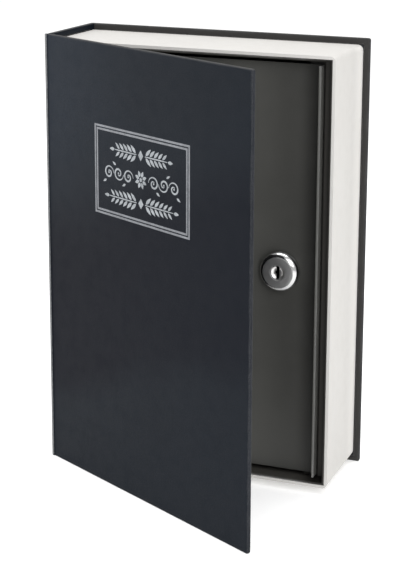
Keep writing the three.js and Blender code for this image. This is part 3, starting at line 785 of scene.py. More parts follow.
@dataclass(frozen=True)
class Enamel:
    """Sprayed enamel on sheet steel, with the steel showing along rubbed edges.

    Past its grip it has a painted highlight, and just behind that a painted shadow of the lip. One
    with a painted gradient is also lighter away from its grip and darker towards it, as painted
    light and shade. Both spans are distances from the grip, and another distance is half the width
    over which the painted highlight sets in. Painted shade darkens it over a span of X.
    """

    name: str = "grey_enamel"
    panel: Panel = Panel()
    colour: Colour = (0.052, 0.052, 0.0485, 1.0)
    worn: Colour = (0.2, 0.2, 0.195, 1.0)
    # tint of the painted shade over its span of X
    shade_tint: Colour = (0.15, 0.14, 0.13, 1.0)
    roughness: float = 0.45
    reach: float = 1.2
    grip: float = 0.0
    painted_gradient: bool = False
    shaded_span: Pair | None = None
    painted_shading: Pair = (44.0, 12.0)
    lip_shadow_span: Pair = (13.0, 3.0)
    highlight_edge: float = 0.2

    def make(self) -> Material:
        """Builds the material.

        Returns:
            The material.
        """
        coat = Coat(self.name, self.panel.frame, Specular_IOR_Level=0.22)
        across = coat.split()["X"]
        soil = Effect.SOILING.use(coat, Scale=0.02)
        mask = self.panel.rubbed(coat, self.reach)
        colour = coat.mix(soil["Broad"], self.colour, stronger(self.colour, 1.18))
        # painted light and shade: lighter away from the grip, darker towards it, where the lip
        # shades the lid
        if self.painted_gradient:
            far, near = (self.grip - distance for distance in self.painted_shading)
            colour = coat.scale(colour, coat.ramp(across, far, near, 1.5, 0.88))
        if self.grip:
            # painted shadow that the lip casts on the lid just behind the grip
            far, near = (self.grip - distance for distance in self.lip_shadow_span)
            lip_shadow = coat.ramp(across, far, near, 0.0, 0.7)
            colour = coat.mix(lip_shadow, colour, stronger(self.colour, 0.35))
            # painted highlight on the lip past the grip, where the side light catches it
            far, near = self.grip - self.highlight_edge, self.grip + self.highlight_edge
            painted_light = coat.ramp(across, far, near, 0.0, 0.8)
            colour = coat.mix(painted_light, colour, stronger(self.colour, 2.4))
        # dust on the faces that look up, which also stands for painted top light
        colour = coat.mix(Effect.DUST_AND_TOP_LIGHT.use(coat)["Mask"], colour, stronger(self.colour, 1.6))
        colour = coat.mix(mask, colour, self.worn)
        # painted shade: darker over a span of X, where the box's wall shades it
        if self.shaded_span:
            colour = coat.mix(coat.ramp(across, *self.shaded_span), colour, self.shade_tint, "MULTIPLY")
        coat.feed("Metallic", coat.product(mask, 0.6))
        rough = coat.spread(soil["Fine"], self.roughness - 0.06, self.roughness + 0.08)
        peel = coat.calc("ADD", coat.noise(0.7), coat.product(coat.noise(3.2, 1.0), 0.4))
        return coat.finish(colour, rough, peel, 0.03)


@dataclass(frozen=True)
class PageStock:
    """Off-white moulding, ribbed with the fine lines of page edges round its outside.

    A leaf's thickness spaces the lines, and over a span of Y the fore-edge is lightened with
    painted light where the back cover shades it.
    """

    name: str = "page_plastic"
    colour: Colour = (0.58, 0.568, 0.548, 1.0)
    shadow: Colour = (0.44, 0.42, 0.385, 1.0)
    leaf: float = 0.6
    painted_fill_light: Pair = (34.0, 54.0)

    def make(self) -> Material:
        """Builds the material.

        Returns:
            The material.
        """
        coat = Coat(self.name, BOOK.frame, Specular_IOR_Level=0.3)
        _, y, _ = coat.split()
        facing_x, facing_y, _ = coat.facing()
        depth = coat.calc("ADD", y, coat.product(coat.noise(0.03), 0.7))
        leaves = coat.product(depth, 2 * math.pi / self.leaf)
        wave = coat.calc("MULTIPLY_ADD", coat.calc("SINE", leaves), 0.5, 0.5)
        values = {"W": coat.product(depth, 5.2), "Detail": 2.0, "Scale": 1.0}
        uneven = coat.add("ShaderNodeTexNoise", values, noise_dimensions="1D").outputs[0]
        lines = coat.product(wave, coat.ramp(uneven, 0.25, 0.75, 0.35, 1.0))
        ribs = coat.product(lines, coat.rest(coat.calc("ABSOLUTE", facing_y)))
        # painted light: the fore-edge lighter near the back cover, against the shade there
        painted_fill_light = coat.product(coat.ramp(y, *self.painted_fill_light), coat.ramp(facing_x, 0.3, 0.8))
        soil = Effect.SOILING.use(coat, Scale=0.018)
        colour = coat.mix(painted_fill_light, self.colour, stronger(self.colour, 1.4))
        colour = coat.mix(coat.product(soil["Broad"], 0.08), colour, self.shadow)
        colour = coat.mix(coat.product(ribs, 0.3), colour, self.shadow)
        return coat.finish(colour, coat.spread(soil["Fine"], 0.52, 0.66), coat.rest(ribs), 0.04)


@dataclass(frozen=True)
class Metal:
    """Bare or plated metal with the fine lines of brushing or turning.

    Turned metal may be polished past a radius, or darkened with painted shade in its keyway behind
    a depth. That painted shade fades out over one span of depth and one of distance from the
    keyway's middle.
    """

    name: str = "steel"
    colour: Colour = (0.42, 0.42, 0.41, 1.0)
    dark: Colour = (0.26, 0.26, 0.25, 1.0)
    roughness: float = 0.34
    lines: Effect = Effect.STREAKS
    scale: float = 4.0
    depth: float = 0.006
    frame: Matrix = field(default_factory=lambda: BOOK.frame)
    polished_from: float = 0.0
    polish: float = 0.13
    shaded_from: float | None = None
    keyway_shade: Colour = (0.004, 0.0038, 0.0034, 1.0)
    shade_deep: Pair = (8.0, 7.5)
    shade_wide: Pair = (1.75, 1.65)

    def make(self) -> Material:
        """Builds the material.

        Returns:
            The material.
        """
        coat = Coat(self.name, self.frame, Metallic=1.0)
        lines = self.lines.use(coat, Scale=self.scale)
        soil = Effect.SOILING.use(coat, Scale=0.16)
        colour = coat.mix(coat.product(soil["Broad"], 0.5), self.colour, self.dark)
        rough = coat.spread(lines["Mask"], self.roughness - 0.06, self.roughness + 0.08)
        x, y, z = coat.split()
        # painted shade deep in the keyway
        if self.shaded_from is not None:
            deep = coat.ramp(y, self.shaded_from, self.shaded_from + 0.7)
            inside = coat.ramp(y, *self.shade_deep)
            near = coat.ramp(coat.calc("ABSOLUTE", x), *self.shade_wide)
            colour = coat.mix(coat.product(deep, inside, near), colour, self.keyway_shade)
        if self.polished_from:
            squares = coat.calc("MULTIPLY_ADD", x, x, coat.product(z, z))
            radius = coat.calc("SQRT", squares)
            outer = coat.ramp(radius, self.polished_from - 0.1, self.polished_from)
            gain = coat.calc("SUBTRACT", self.polish, rough)
            rough = coat.calc("MULTIPLY_ADD", outer, gain, rough)
        return coat.finish(colour, rough, lines["Height"], self.depth)


@dataclass(frozen=True)
class Foil:
    """Silver-grey stamping foil, broken by the grain under it."""

    name: str = "title_foil"
    colour: Colour = (0.36, 0.385, 0.41, 1.0)
    thin: Colour = (0.15, 0.165, 0.18, 1.0)

    def make(self) -> Material:
        """Builds the material.

        Returns:
            The material.
        """
        coat = Coat(self.name, BOOK.cover_frame)
        grain = Effect.GRAIN.use(coat)
        soil = Effect.SOILING.use(coat, Scale=0.26)
        gaps = coat.product(coat.rest(grain["Pebble"]), 0.55)
        share = coat.calc("ADD", gaps, coat.product(soil["Broad"], 0.45), clamp=True)
        colour = coat.mix(share, self.colour, self.thin)
        return coat.finish(colour, coat.spread(soil["Fine"], 0.34, 0.5), grain["Height"], 0.02)


@dataclass(frozen=True)
class Paper:
    """Lining paper or greyboard, with its fibres."""

    name: str = "lining_paper"
    colour: Colour = (0.014, 0.0145, 0.0165, 1.0)
    fibre: Colour = (0.028, 0.029, 0.032, 1.0)
    roughness: float = 0.8
    depth: float = 0.02

    def make(self) -> Material:
        """Builds the material.

        Returns:
            The material.
        """
        coat = Coat(self.name, BOOK.frame, Specular_IOR_Level=0.3)
        along = coat.add("ShaderNodeMapping", {"Vector": coat.place, "Scale": (1.0, 1.0, 0.25)})
        fibres = coat.ramp(coat.noise(2.6, 4.0, along.outputs[0]), 0.42, 0.62)
        soil = Effect.SOILING.use(coat, Scale=0.03)
        share = coat.product(fibres, coat.spread(soil["Broad"], 0.5, 1))
        rough = coat.spread(soil["Fine"], self.roughness - 0.08, self.roughness + 0.1)
        return coat.finish(coat.mix(share, self.colour, self.fibre), rough, fibres, self.depth)


# Pieces


@dataclass
class Case:
    """The case binding: front cover, joint, spine and back cover."""

    cloth: Material
    cover_cloth: Material
    highlit_fold_cloth: Material
    board: Material
    lining: Material
    edge: float = 0.8
    spine_front: float = 3.974
    nose: tuple = ((0.61, 1.7), (1.21, 1.7))
    spine_lip: tuple = ((0.61, 1.31), (0.9, 1.185), (1.0, 1.8), (0.61, 1.8))
    cover_lip: tuple = ((0.94, -0.35), (1.6, -0.35), (1.6, 0.9), (0.7, 0.714))
    rear_radius: float = 1.5

    def build(self) -> None:
        """Builds and dresses all of it."""
        self.front_cover()
        self.front_joint()
        self.spine_and_back()
        for layer, material, width in (("board", self.board, 0.1), ("lining", self.lining, 0.05)):
            names = [f"{part}_{layer}" for part in ("front_cover", "spine", "back_cover")]
            dress(names, material, width)

    def lip(self, section: Sequence[Pair]) -> Object:
        """Makes the lip of cloth that reaches to the roll, a little short of head and foot."""
        return prism("lip", section, Axis.Z, BOOK.lip_inset, BOOK.height - BOOK.lip_inset)

    def hollow(self, start: float, end: float, outer: float, inner: float) -> list[Object]:
        """Makes what is cut out of a cover's cloth: room for its board, open at the lining.

        Args:
            start: Where the cover starts.
            end: Where it ends.
            outer: Its outer face.
            inner: Its inner face.

        Returns:
            The cavity and the window.
        """
        thin, turn, top = BOOK.cloth, BOOK.turn_in, BOOK.height
        way = 1 if inner > outer else -1
        outline = rounded((start + thin, thin), (end - thin, top - thin), BOOK.corner - thin)
        floor, open_end = sorted((outer + way * thin, inner - way * thin))
        cavity = prism("cavity", outline, Axis.Y, floor, open_end)
        low, high = sorted((inner - 2 * way * thin, inner + way * PAST))
        window = block("window", (start + turn, low, turn), (end - turn, high, top - turn))
        return [cavity, window]

    def front_cover(self) -> None:
        """Builds the front cover's cloth, turned in over the board and open at the lining."""
        start, end = BOOK.cover_start, BOOK.width - BOOK.roll_inset
        outer, inner = -BOOK.roll_inset, BOOK.cover - BOOK.roll_inset
        outline = rounded((start, 0.0), (end, BOOK.height), BOOK.corner)
        cover = prism("front_cover_leatherette", outline, Axis.Y, outer, inner)
        round_edges(cover, self.edge, lambda a, b: flush(a, b) and max(a.x, b.x) > start + NEAR)
        combine(cover, [self.lip(self.cover_lip)], Boolean.JOIN)
        combine(cover, self.hollow(start, end, outer, inner), Boolean.CUT)
        smooth(cover)
        finish = ("cover_cloth", self.cover_cloth)
        place(cover, BOOK.cover_frame, Body.COVER, *finish, "front_cover_cloth")

    def front_joint(self) -> None:
        """Builds the roll of cloth that the cover turns round."""
        radius, rim, top = BOOK.roll_radius, BOOK.roll_rim, BOOK.height
        foot = arc((radius - rim, rim), rim, -90, 0, 4)
        head = arc((radius - rim, top - rim), rim, 0, 90, 4)
        roll = revolve("front_joint_leatherette", [(0.0, 0.0), *foot, *head, (0.0, top)], 40)
        roll.data.transform(Matrix.Rotation(math.pi / 2, 4, "X"))
        smooth(roll)
        finish = ("cover_cloth", self.highlit_fold_cloth)
        place(roll, BOOK.roll_frame, Body.JOINT, *finish, "front_joint_cloth")

    def spine_and_back(self) -> None:
        """Builds the cloth that runs on from the spine round the rear joint to the back cover."""
        width, depth, cover, top = BOOK.width, BOOK.depth, BOOK.cover, BOOK.height
        inner, bend, corner, front = depth - cover, self.rear_radius, BOOK.corner, self.spine_front
        section = [
            self.nose[0],
            (0.0, front),
            *arc((bend, depth - bend), bend, 180, 90),
            (width, depth),
            (width, inner),
            (cover, inner),
            (cover, front),
            self.nose[1],
        ]
        case = prism("case_leatherette", section, Axis.Z, 0.0, top)
        corners = []
        for z, way in ((0.0, 1), (top, -1)):
            centre = (width - corner, z + way * corner)
            far, end = width + PAST, z - way * PAST
            square = [(far, centre[1]), (far, end), (centre[0], end)]
            outline = [*square, *arc(centre, corner, -way * 90, 0, 8)]
            corners.append(prism("corner", outline, Axis.Y, inner - PAST, depth + PAST))
        combine(case, corners, Boolean.CUT)

        def at_rim(a: Vector, b: Vector) -> bool:
            """Chooses the edges round the head, the foot and the fore-edge.

            Args:
                a: One end of an edge.
                b: Its other end.

            Returns:
                Whether it is rounded.
            """
            most = 0.9 * (a - b).length
            past_nose = min(a.y, b.y) > front - NEAR
            fore_edge = min(a.x, b.x) > width - corner - NEAR
            across, upright = abs(a.y - b.y) > most, abs(a.z - b.z) > most
            return past_nose and not (across and fore_edge) and (fore_edge or not upright)

        round_edges(case, self.edge, at_rim)
        combine(case, [self.lip(self.spine_lip)], Boolean.JOIN)
        thin, turn = BOOK.cloth, BOOK.turn_in
        back = inner - BOOK.lip_inset
        low, high = (thin, front + thin, thin), (cover - thin, back - thin, top - thin)
        cuts = [block("cavity", low, high)]
        low, high = (cover - 2 * thin, front + turn, turn), (cover + PAST, back - turn, top - turn)
        cuts.append(block("window", low, high))
        cuts += self.hollow(BOOK.page_start, width, depth, inner)
        combine(case, cuts, Boolean.CUT)
        smooth(case)
        nodes = (f"{part}_cloth" for part in ("spine", "rear_joint", "back_cover"))
        place(case, BOOK.frame, Body.SAFE, "cover_cloth", self.cloth, *nodes)


def outwards(side: int, angle: float) -> float:
    """Gives a direction on the right side, or its mirror image on the left."""
    return angle if side > 0 else math.pi - angle


@dataclass
class Title:
    """The stamped panel on the front cover: a double frame round a generic ornament."""

    foil: Material
    frame_foil: Material
    middle: Pair = (80.1, 171.15)
    half: Pair = (38.05, 23.25)
    line: float = 1.05
    pitch: float = 1.7
    thickness: float = 0.05
    swell: float = 0.8
    diamond: Pair = (2.0, 2.7)
    stem: Pair = (3.4, 4.6)
    leaf_size: Pair = (5.6, 1.9)
    leaf_deg: float = 42.0
    tip_leaf: Pair = (4.0, 1.8)
    stem_width: float = 0.75
    rosette: Pair = (1.05, 1.5)
    petals: int = 8
    petal: Pair = (3.3, 1.9)
    vine_start: float = 6.2
    vine_width: float = 0.95
    bud: float = 0.55
    scroll_turns: float = 1.35
    sprig: Pair = (3.2, 1.25)
    sprig_deg: float = -28.0
    patches: list = field(default_factory=list)

    def border(self, inset: float) -> None:
        """Adds one rectangular line of the frame, as four mitred bars.

        Args:
            inset: How far inside the panel it runs.
        """
        (u, v), (a, b) = self.middle, self.half
        ways, gaps = ((-1, -1), (1, -1), (1, 1), (-1, 1)), (inset, inset + self.line)
        outer, inner = ([(u + x * (a - gap), v + y * (b - gap)) for x, y in ways] for gap in gaps)
        for i in range(4):
            j = (i + 1) % 4
            self.patches.append([outer[i], outer[j], inner[j], inner[i]])

    def stroke(self, path: Sequence[Pair], width: float, ends: float) -> None:
        """Adds a stroke that swells in its middle.

        Args:
            path: The points of its middle line.
            width: Its greatest width.
            ends: The width of its ends, as a share of that.
        """
        left, right = [], []
        last = len(path) - 1
        for i, (u, v) in enumerate(path):
            before, after = path[max(i - 1, 0)], path[min(i + 1, last)]
            du, dv = after[0] - before[0], after[1] - before[1]
            length = math.hypot(du, dv)
            half = 0.5 * width * (ends + (1 - ends) * math.sin(math.pi * i / last) ** self.swell)
            left.append((u - dv / length * half, v + du / length * half))
            right.append((u + dv / length * half, v - du / length * half))
        for i in range(last):
            self.patches.append([right[i], right[i + 1], left[i + 1], left[i]])

    def leaf(self, root: Pair, angle: float, size: Pair, scale: float = 1.0) -> None:
        """Adds a pointed leaf.

        Args:
            root: Where it starts.
            angle: Its direction in radians.
            size: Its length and greatest width.
            scale: How much larger it is than that.
        """
        steps, length, width = 9, size[0] * scale, size[1] * scale
        shares = [i / steps for i in range(steps + 1)]
        path = [(t, math.sin(math.pi * t**self.swell) * width / 2) for t in shares]
        path += [(t, -w) for t, w in reversed(path[1:-1])]
        (u, v), c, s = root, math.cos(angle), math.sin(angle)
        outline = [(u + c * t * length - s * w, v + s * t * length + c * w) for t, w in path]
        self.patches.append(outline)

    def branch(self, level: float, reach: float, pairs: int) -> None:
        """Adds a row of paired leaves that run outwards from a diamond.

        Args:
            level: The row's height.
            reach: Half its width.
            pairs: The pairs of leaves on each side.
        """
        u, (a, b) = self.middle[0], self.diamond
        self.patches.append([(u + a, level), (u, level + b), (u - a, level), (u, level - b)])
        for side in (-1, 1):
            start, end = u + side * self.stem[0], u + side * (reach - self.stem[1])
            bend = start + side * (reach - sum(self.stem)) / 2
            self.stroke([(start, level), (bend, level), (end, level)], self.stem_width, 0.6)
            step = (reach - 9.0) / pairs
            for i in range(pairs):
                for way in (-1, 1):
                    root = (start + side * (0.6 + i * step), level + way * 0.62)
                    angle = outwards(side, math.radians(self.leaf_deg) * way)
                    self.leaf(root, angle, self.leaf_size, 1 - 0.05 * i)
            self.leaf((u + side * (reach - 4.2), level), outwards(side, 0), self.tip_leaf)

    def vine(self, level: float, reach: float, lobes: int) -> None:
        """Adds a row of scrolls that run outwards from a rosette.

        Args:
            level: The row's height.
            reach: Half its width.
            lobes: The scrolls on each side.
        """
        middle = (self.middle[0], level)
        self.patches.append(ring(middle, self.rosette[0], 14))
        for i in range(self.petals):
            turn = 360 * (i + 0.5) / self.petals
            root = arc(middle, self.rosette[1], turn, turn, 1)[0]
            self.leaf(root, math.radians(turn), self.petal)
        lobe = (reach - self.vine_start) / lobes
        for side in (-1, 1):
            for k in range(lobes):
                way = 1 if k % 2 == 0 else -1
                along = self.vine_start + lobe * (k + 0.5)
                self.scroll((middle[0] + side * along, level - way * 0.3), lobe / 2, side, way)

    def scroll(self, centre: Pair, outer: float, side: int, way: int) -> None:
        """Adds one scroll of a vine.

        Args:
            centre: Its centre.
            outer: Its radius.
            side: 1 to the right of the middle, -1 to the left.
            way: 1 if it curls upwards, -1 if downwards.
        """
        (u, v), steps = centre, 30
        path = []
        for i in range(steps + 1):
            t = i / steps
            radius = outer * (1.02 - 0.78 * t)
            angle = math.pi - 2 * math.pi * self.scroll_turns * t
            across, up = side * radius * math.cos(angle), way * radius * 0.92 * math.sin(angle)
            path.append((u + across, v + up))
        self.stroke(path, self.vine_width, 0.3)
        self.patches.append(ring((u + side * 0.1, v), self.bud, 10))
        angle = outwards(side, math.radians(self.sprig_deg * way))
        self.leaf((u + side * outer * 0.55, v - way * outer), angle, self.sprig)

    def press(self, name: str, foil: Material) -> None:
        """Makes one piece of the patches added so far, each with its own thickness.

        Args:
            name: The piece's name.
            foil: Its material.
        """
        face = -BOOK.roll_inset
        piece = prisms(name, self.patches, Axis.Y, face - self.thickness, face + 0.01)
        place(piece, BOOK.cover_frame, Body.COVER, "title_foil", foil)
        self.patches = []

    def build(self) -> None:
        """Builds the frame and the ornament."""
        self.border(0.0)
        self.border(self.pitch)
        self.press("title_frame", self.frame_foil)
        self.branch(183.3, 25.5, 5)
        self.vine(171.0, 30.0, 3)
        self.branch(158.7, 30.0, 6)
        self.press("title_ornament", self.foil)


@dataclass
class PageBlock:
    """The imitation page block: a moulded frame with a flange at its back."""

    plastic: Material
    low: Triple = (2.8, 3.0, 3.5)
    high: Triple = (158.5, 52.2, 232.5)
    wall: float = 1.7
    corner: float = 3.0
    flange: float = 14.0
    rivet_inset: float = 9.0
    rivet_hole: float = 1.7
    edge: float = 0.4

    def build(self) -> None:
        """Builds and dresses it."""
        (x0, y0, z0), (x1, y1, z1) = self.low, self.high
        wall, lip, inset = self.wall, self.flange, self.rivet_inset
        outline = rounded((x0, z0), (x1, z1), self.corner, 10)
        pages = prism("page_block", outline, Axis.Y, y0, y1)
        low, high = (x0 + wall, y0 - PAST, z0 + wall), (x1 - wall, y1 - wall, z1 - wall)
        cuts = [block("hollow", low, high)]
        cuts.append(block("opening", (x0 + lip, y0, z0 + lip), (x1 - lip, y1 + PAST, z1 - lip)))
        combine(pages, cuts, Boolean.CUT)
        round_edges(pages, self.edge, flush)
        places = [(x, z) for x in (x0 + inset, x1 - inset) for z in (z0 + inset, z1 - inset)]
        rings = [ring(spot, self.rivet_hole, 24) for spot in places]
        holes = [prism("hole", outline, Axis.Y, y1 - 3 * PAST, y1 + PAST) for outline in rings]
        combine(pages, holes, Boolean.CUT)
        smooth(pages)
        place(pages, BOOK.frame, Body.SAFE, "page_plastic", self.plastic, "page_shell")


@dataclass(frozen=True)
class RivetSize:
    """The sizes of one kind of rivet; a tail of no radius isn't spread."""

    radius: float
    rise: float
    shank: float
    tail: float = 0.0
    tail_rise: float = 0.0


@dataclass
class Rivets:
    """The domed rivets of the tray, the hinge and the catch."""

    steel: Material
    dome_steps: int = 8
    dome: float = 0.72
    sides: int = 32
    large: RivetSize = RivetSize(3.5, 1.0, 1.6)
    small: RivetSize = RivetSize(2.5, 0.9, 1.2)
    spread: RivetSize = RivetSize(2.5, 0.9, 1.2, 2.0, 0.6)
    tail_bevel: Pair = (0.2, 0.1)

    def rivet(self, name: str, way: Vector, size: RivetSize, body: Body) -> None:
        """Builds one rivet in the place of its solid.

        Args:
            name: The solid's name.
            way: The direction that the head faces.
            size: Its sizes.
            body: The body that it rides on.
        """
        low, high = (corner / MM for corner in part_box(name))
        length = abs((high - low).dot(way))
        turns = [0.5 * math.pi * i / self.dome_steps for i in range(self.dome_steps + 1)]
        rise = size.rise * self.dome
        profile = [(size.radius * math.sin(t), rise * (1 - math.cos(t))) for t in turns]
        profile += [(size.radius, size.rise), (size.shank, size.rise)]
        if size.tail:
            back, (inwards, along) = length - size.tail_rise, self.tail_bevel
            profile += [(size.shank, back), (size.tail, back + along)]
            profile.append((size.tail - inwards, length))
        else:
            profile.append((size.shank, length))
        piece = revolve(f"{name}_domed", [*profile, (0.0, length)], self.sides)
        smooth(piece, 50)
        turn = Vector((0, -1, 0)).rotation_difference(way).to_matrix().to_4x4()
        start = (low + high) / 2 + way * (length / 2)
        matrix = Matrix.Scale(MM, 4) @ Matrix.Translation(start) @ turn
        place(piece, matrix, body, "zinc_steel", self.steel, name)

    def build(self) -> None:
        """Builds all of them."""
        forward, left, right = Vector((0, -1, 0)), Vector((-1, 0, 0)), Vector((1, 0, 0))
        for i in range(1, 5):
            self.rivet(f"tray_rivet_{i}", forward, self.large, Body.SAFE)
        for i in range(1, 4):
            self.rivet(f"leaf_rivet_{i}", right, self.small, Body.SAFE)
            self.rivet(f"catch_rivet_{i}", left, self.small, Body.SAFE)
            self.rivet(f"lid_rivet_{i}", forward, self.spread, Body.LID)


@dataclass
class CashBox:
    """The steel box: tray, catch angle, lid and piano hinge."""

    enamel: Material
    shaded_tray_enamel: Material
    shaded_catch_enamel: Material
    steel: Material

    def build(self) -> None:
        """Dresses its solids."""
        dress(["box_tray"], self.shaded_tray_enamel, 0.2)
        dress(["catch_angle"], self.shaded_catch_enamel, 0.3)
        dress(["lid_plate"], self.enamel, 0.3)
        dress(["hinge_leaf_fixed", "hinge_leaf_moving"], self.shaded_tray_enamel, 0.12)
        dress(["hinge_pin"], self.steel, 0.2)


@dataclass
class CamLock:
    """The cam lock: case, plug, nut, washers, wafers, cam and screw.

    Depths are counted inwards from the lid's outer face.
    """

    chrome: Material
    plug_steel: Material
    steel: Material
    brass: Material
    axis: ClassVar[Triple] = (128.9, 9.4, 118.0)
    bezel: float = 11.0
    face: float = 8.2
    proud: float = 4.9
    step: float = 0.35
    ledge: float = 0.1
    play: float = 0.05
    rim: float = 0.7
    chamfer: float = 0.15
    seat: float = 0.3
    lean_deg: float = 24.0
    barrel: float = 8.0
    length: float = 12.0
    flat: float = 7.0
    mouth: float = 4.05
    mouth_depth: float = 2.1
    bore: float = 5.95
    thread_pitch: float = 1.0
    thread_depth: float = 0.35
    thread_start: float = 1.4
    thread_fade: float = 0.8
    thread_rows: int = 8
    end_chamfer: float = 0.4
    bevel: float = 0.06
    plug: float = 5.8
    plug_sunk: float = 0.2
    shoulder: float = 2.25
    keyway: Pair = (0.8, 3.55)
    ward: Triple = (-1.55, 0.5, 0.7)
    key_depth: float = 7.2
    first_slot: float = 1.2
    slot_pitch: float = 2.1
    slot: Triple = (2.6, 0.5, 9.0)
    tail: Triple = (2.5, 11.0, 13.9)
    screw: Triple = (1.3, 7.9, 15.0)
    sides: int = 96

    @classmethod
    def frame(cls) -> Matrix:
        """Turns millimetres from the lock's own origin into the part's metres."""
        return BOOK.frame @ Matrix.Translation(cls.axis)

    def build(self) -> None:
        """Builds and dresses all of it."""
        self.case()
        self.turning_plug()
        dress(["lock_washer", "lock_nut"], self.steel, 0.25)
        dress(["cam", "cam_washer", "cam_screw"], self.steel, 0.2)
        dress([f"wafer_{i}" for i in range(1, 6)], self.brass, 0.08)

    def flare(self) -> list[Pair]:
        """Outlines the bezel's round flank, from its face out to its rim.

        Returns:
            Its profile's points.
        """
        lean, steps = math.radians(self.lean_deg), 16
        rise = self.proud - self.rim - self.step
        inner = self.face + self.ledge
        widen = (self.bezel - inner) / (1 - math.sin(lean))
        points = []
        for i in range(steps + 1):
            turn = lean + (0.5 * math.pi - lean) * i / steps
            radius = inner + widen * (math.sin(turn) - math.sin(lean))
            points.append((radius, -self.rim - rise * math.cos(turn) / math.cos(lean)))
        return points

    def case(self) -> None:
        """Builds the flared case, with a thread and two flats on its barrel."""
        front, chamfer = -self.proud, self.chamfer
        head = [
            (self.bore, front + self.mouth_depth),
            (self.mouth, front + self.mouth_depth),
            (self.mouth, front + self.bevel),
            (self.mouth + self.bevel, front),
            *arc((self.face - chamfer, front + chamfer), chamfer, 270, 360, 4),
            (self.face, front + self.step + self.ledge),
            *self.flare(),
            (self.bezel, -self.seat - chamfer),
            (self.bezel - chamfer, -self.seat),
            (self.barrel, -self.seat),
        ]
        first = len(head)
        count = int(self.length / self.thread_pitch * self.thread_rows)
        last = first + count + 1
        start, reach = self.play - self.seat, self.length - self.play
        barrel = [(self.barrel, start + reach * i / count) for i in range(count + 1)]
        end = self.barrel - self.end_chamfer
        profile = [*head, *barrel, (end, self.length), (self.bore, self.length)]

        def thread(row: int, turn: float, radius: float, along: float) -> Triple:
            """Cuts the thread and the flats into the barrel's rows.

            Args:
                row: The point's row.
                turn: Its angle.
                radius: Its radius.
                along: Its place along the axis.

            Returns:
                The point.
            """
            if first <= row < last and along > self.thread_start:
                phase = (along / self.thread_pitch - turn / (2 * math.pi)) % 1.0
                fade = min(1.0, (along - self.thread_start) / self.thread_fade)
                radius -= self.thread_depth * fade * abs(2 * phase - 1)
            x, z = radius * math.cos(turn), radius * math.sin(turn)
            if row >= first - 1:
                z = max(-self.flat, min(self.flat, z))
            return (x, along, z)

        case = revolve("lock_case", profile, self.sides, thread)
        smooth(case, 32)
        place(case, self.frame(), Body.LID, "lock_chrome", self.chrome, "lock_body")

    def turning_plug(self) -> None:
        """Builds the plug, with its dished front, keyway, wafer slots and square tail."""
        front, shoulder = self.plug_sunk - self.proud, self.shoulder - self.proud
        neck = self.mouth - self.play
        dish = ((0.0, 0.9), (2.1, 0.9), (2.15, 0.78), (2.22, 0.71), (2.3, 0.69), (2.38, 0.71))
        rim = ((2.45, 0.78), (3.35, 0.06), (3.45, 0.0), (neck - 0.03, 0.0), (neck, 0.03))
        profile = [
            *((radius, front + sunk) for radius, sunk in (*dish, *rim)),
            (neck, shoulder),
            (self.plug, shoulder),
            (self.plug, self.length),
            (0.0, self.length),
        ]
        plug = revolve("lock_plug_turned", profile, 64)
        half, start, end = self.tail
        combine(plug, [block("tail", (-half, start, -half), (half, end, half))], Boolean.JOIN)
        (half, high), (left, right, rise) = self.keyway, self.ward
        start, end = front - PAST, self.key_depth
        cuts = [
            block("keyway", (-half, start, -high), (half, end, high)),
            block("ward", (left, start, -rise), (right, end, rise)),
        ]
        half, thick, high = self.slot
        for i in range(5):
            y = shoulder + self.first_slot + self.slot_pitch * i
            cuts.append(block("slot", (-half, y - thick, -high), (half, y + thick, high)))
        radius, start, end = self.screw
        cuts.append(prism("screw_hole", ring((0, 0), radius, 24), Axis.Y, start, end))
        combine(plug, cuts, Boolean.CUT)
        smooth(plug)
        place(plug, self.frame(), Body.LOCK, "plug_steel", self.plug_steel, "lock_plug")


# Studio


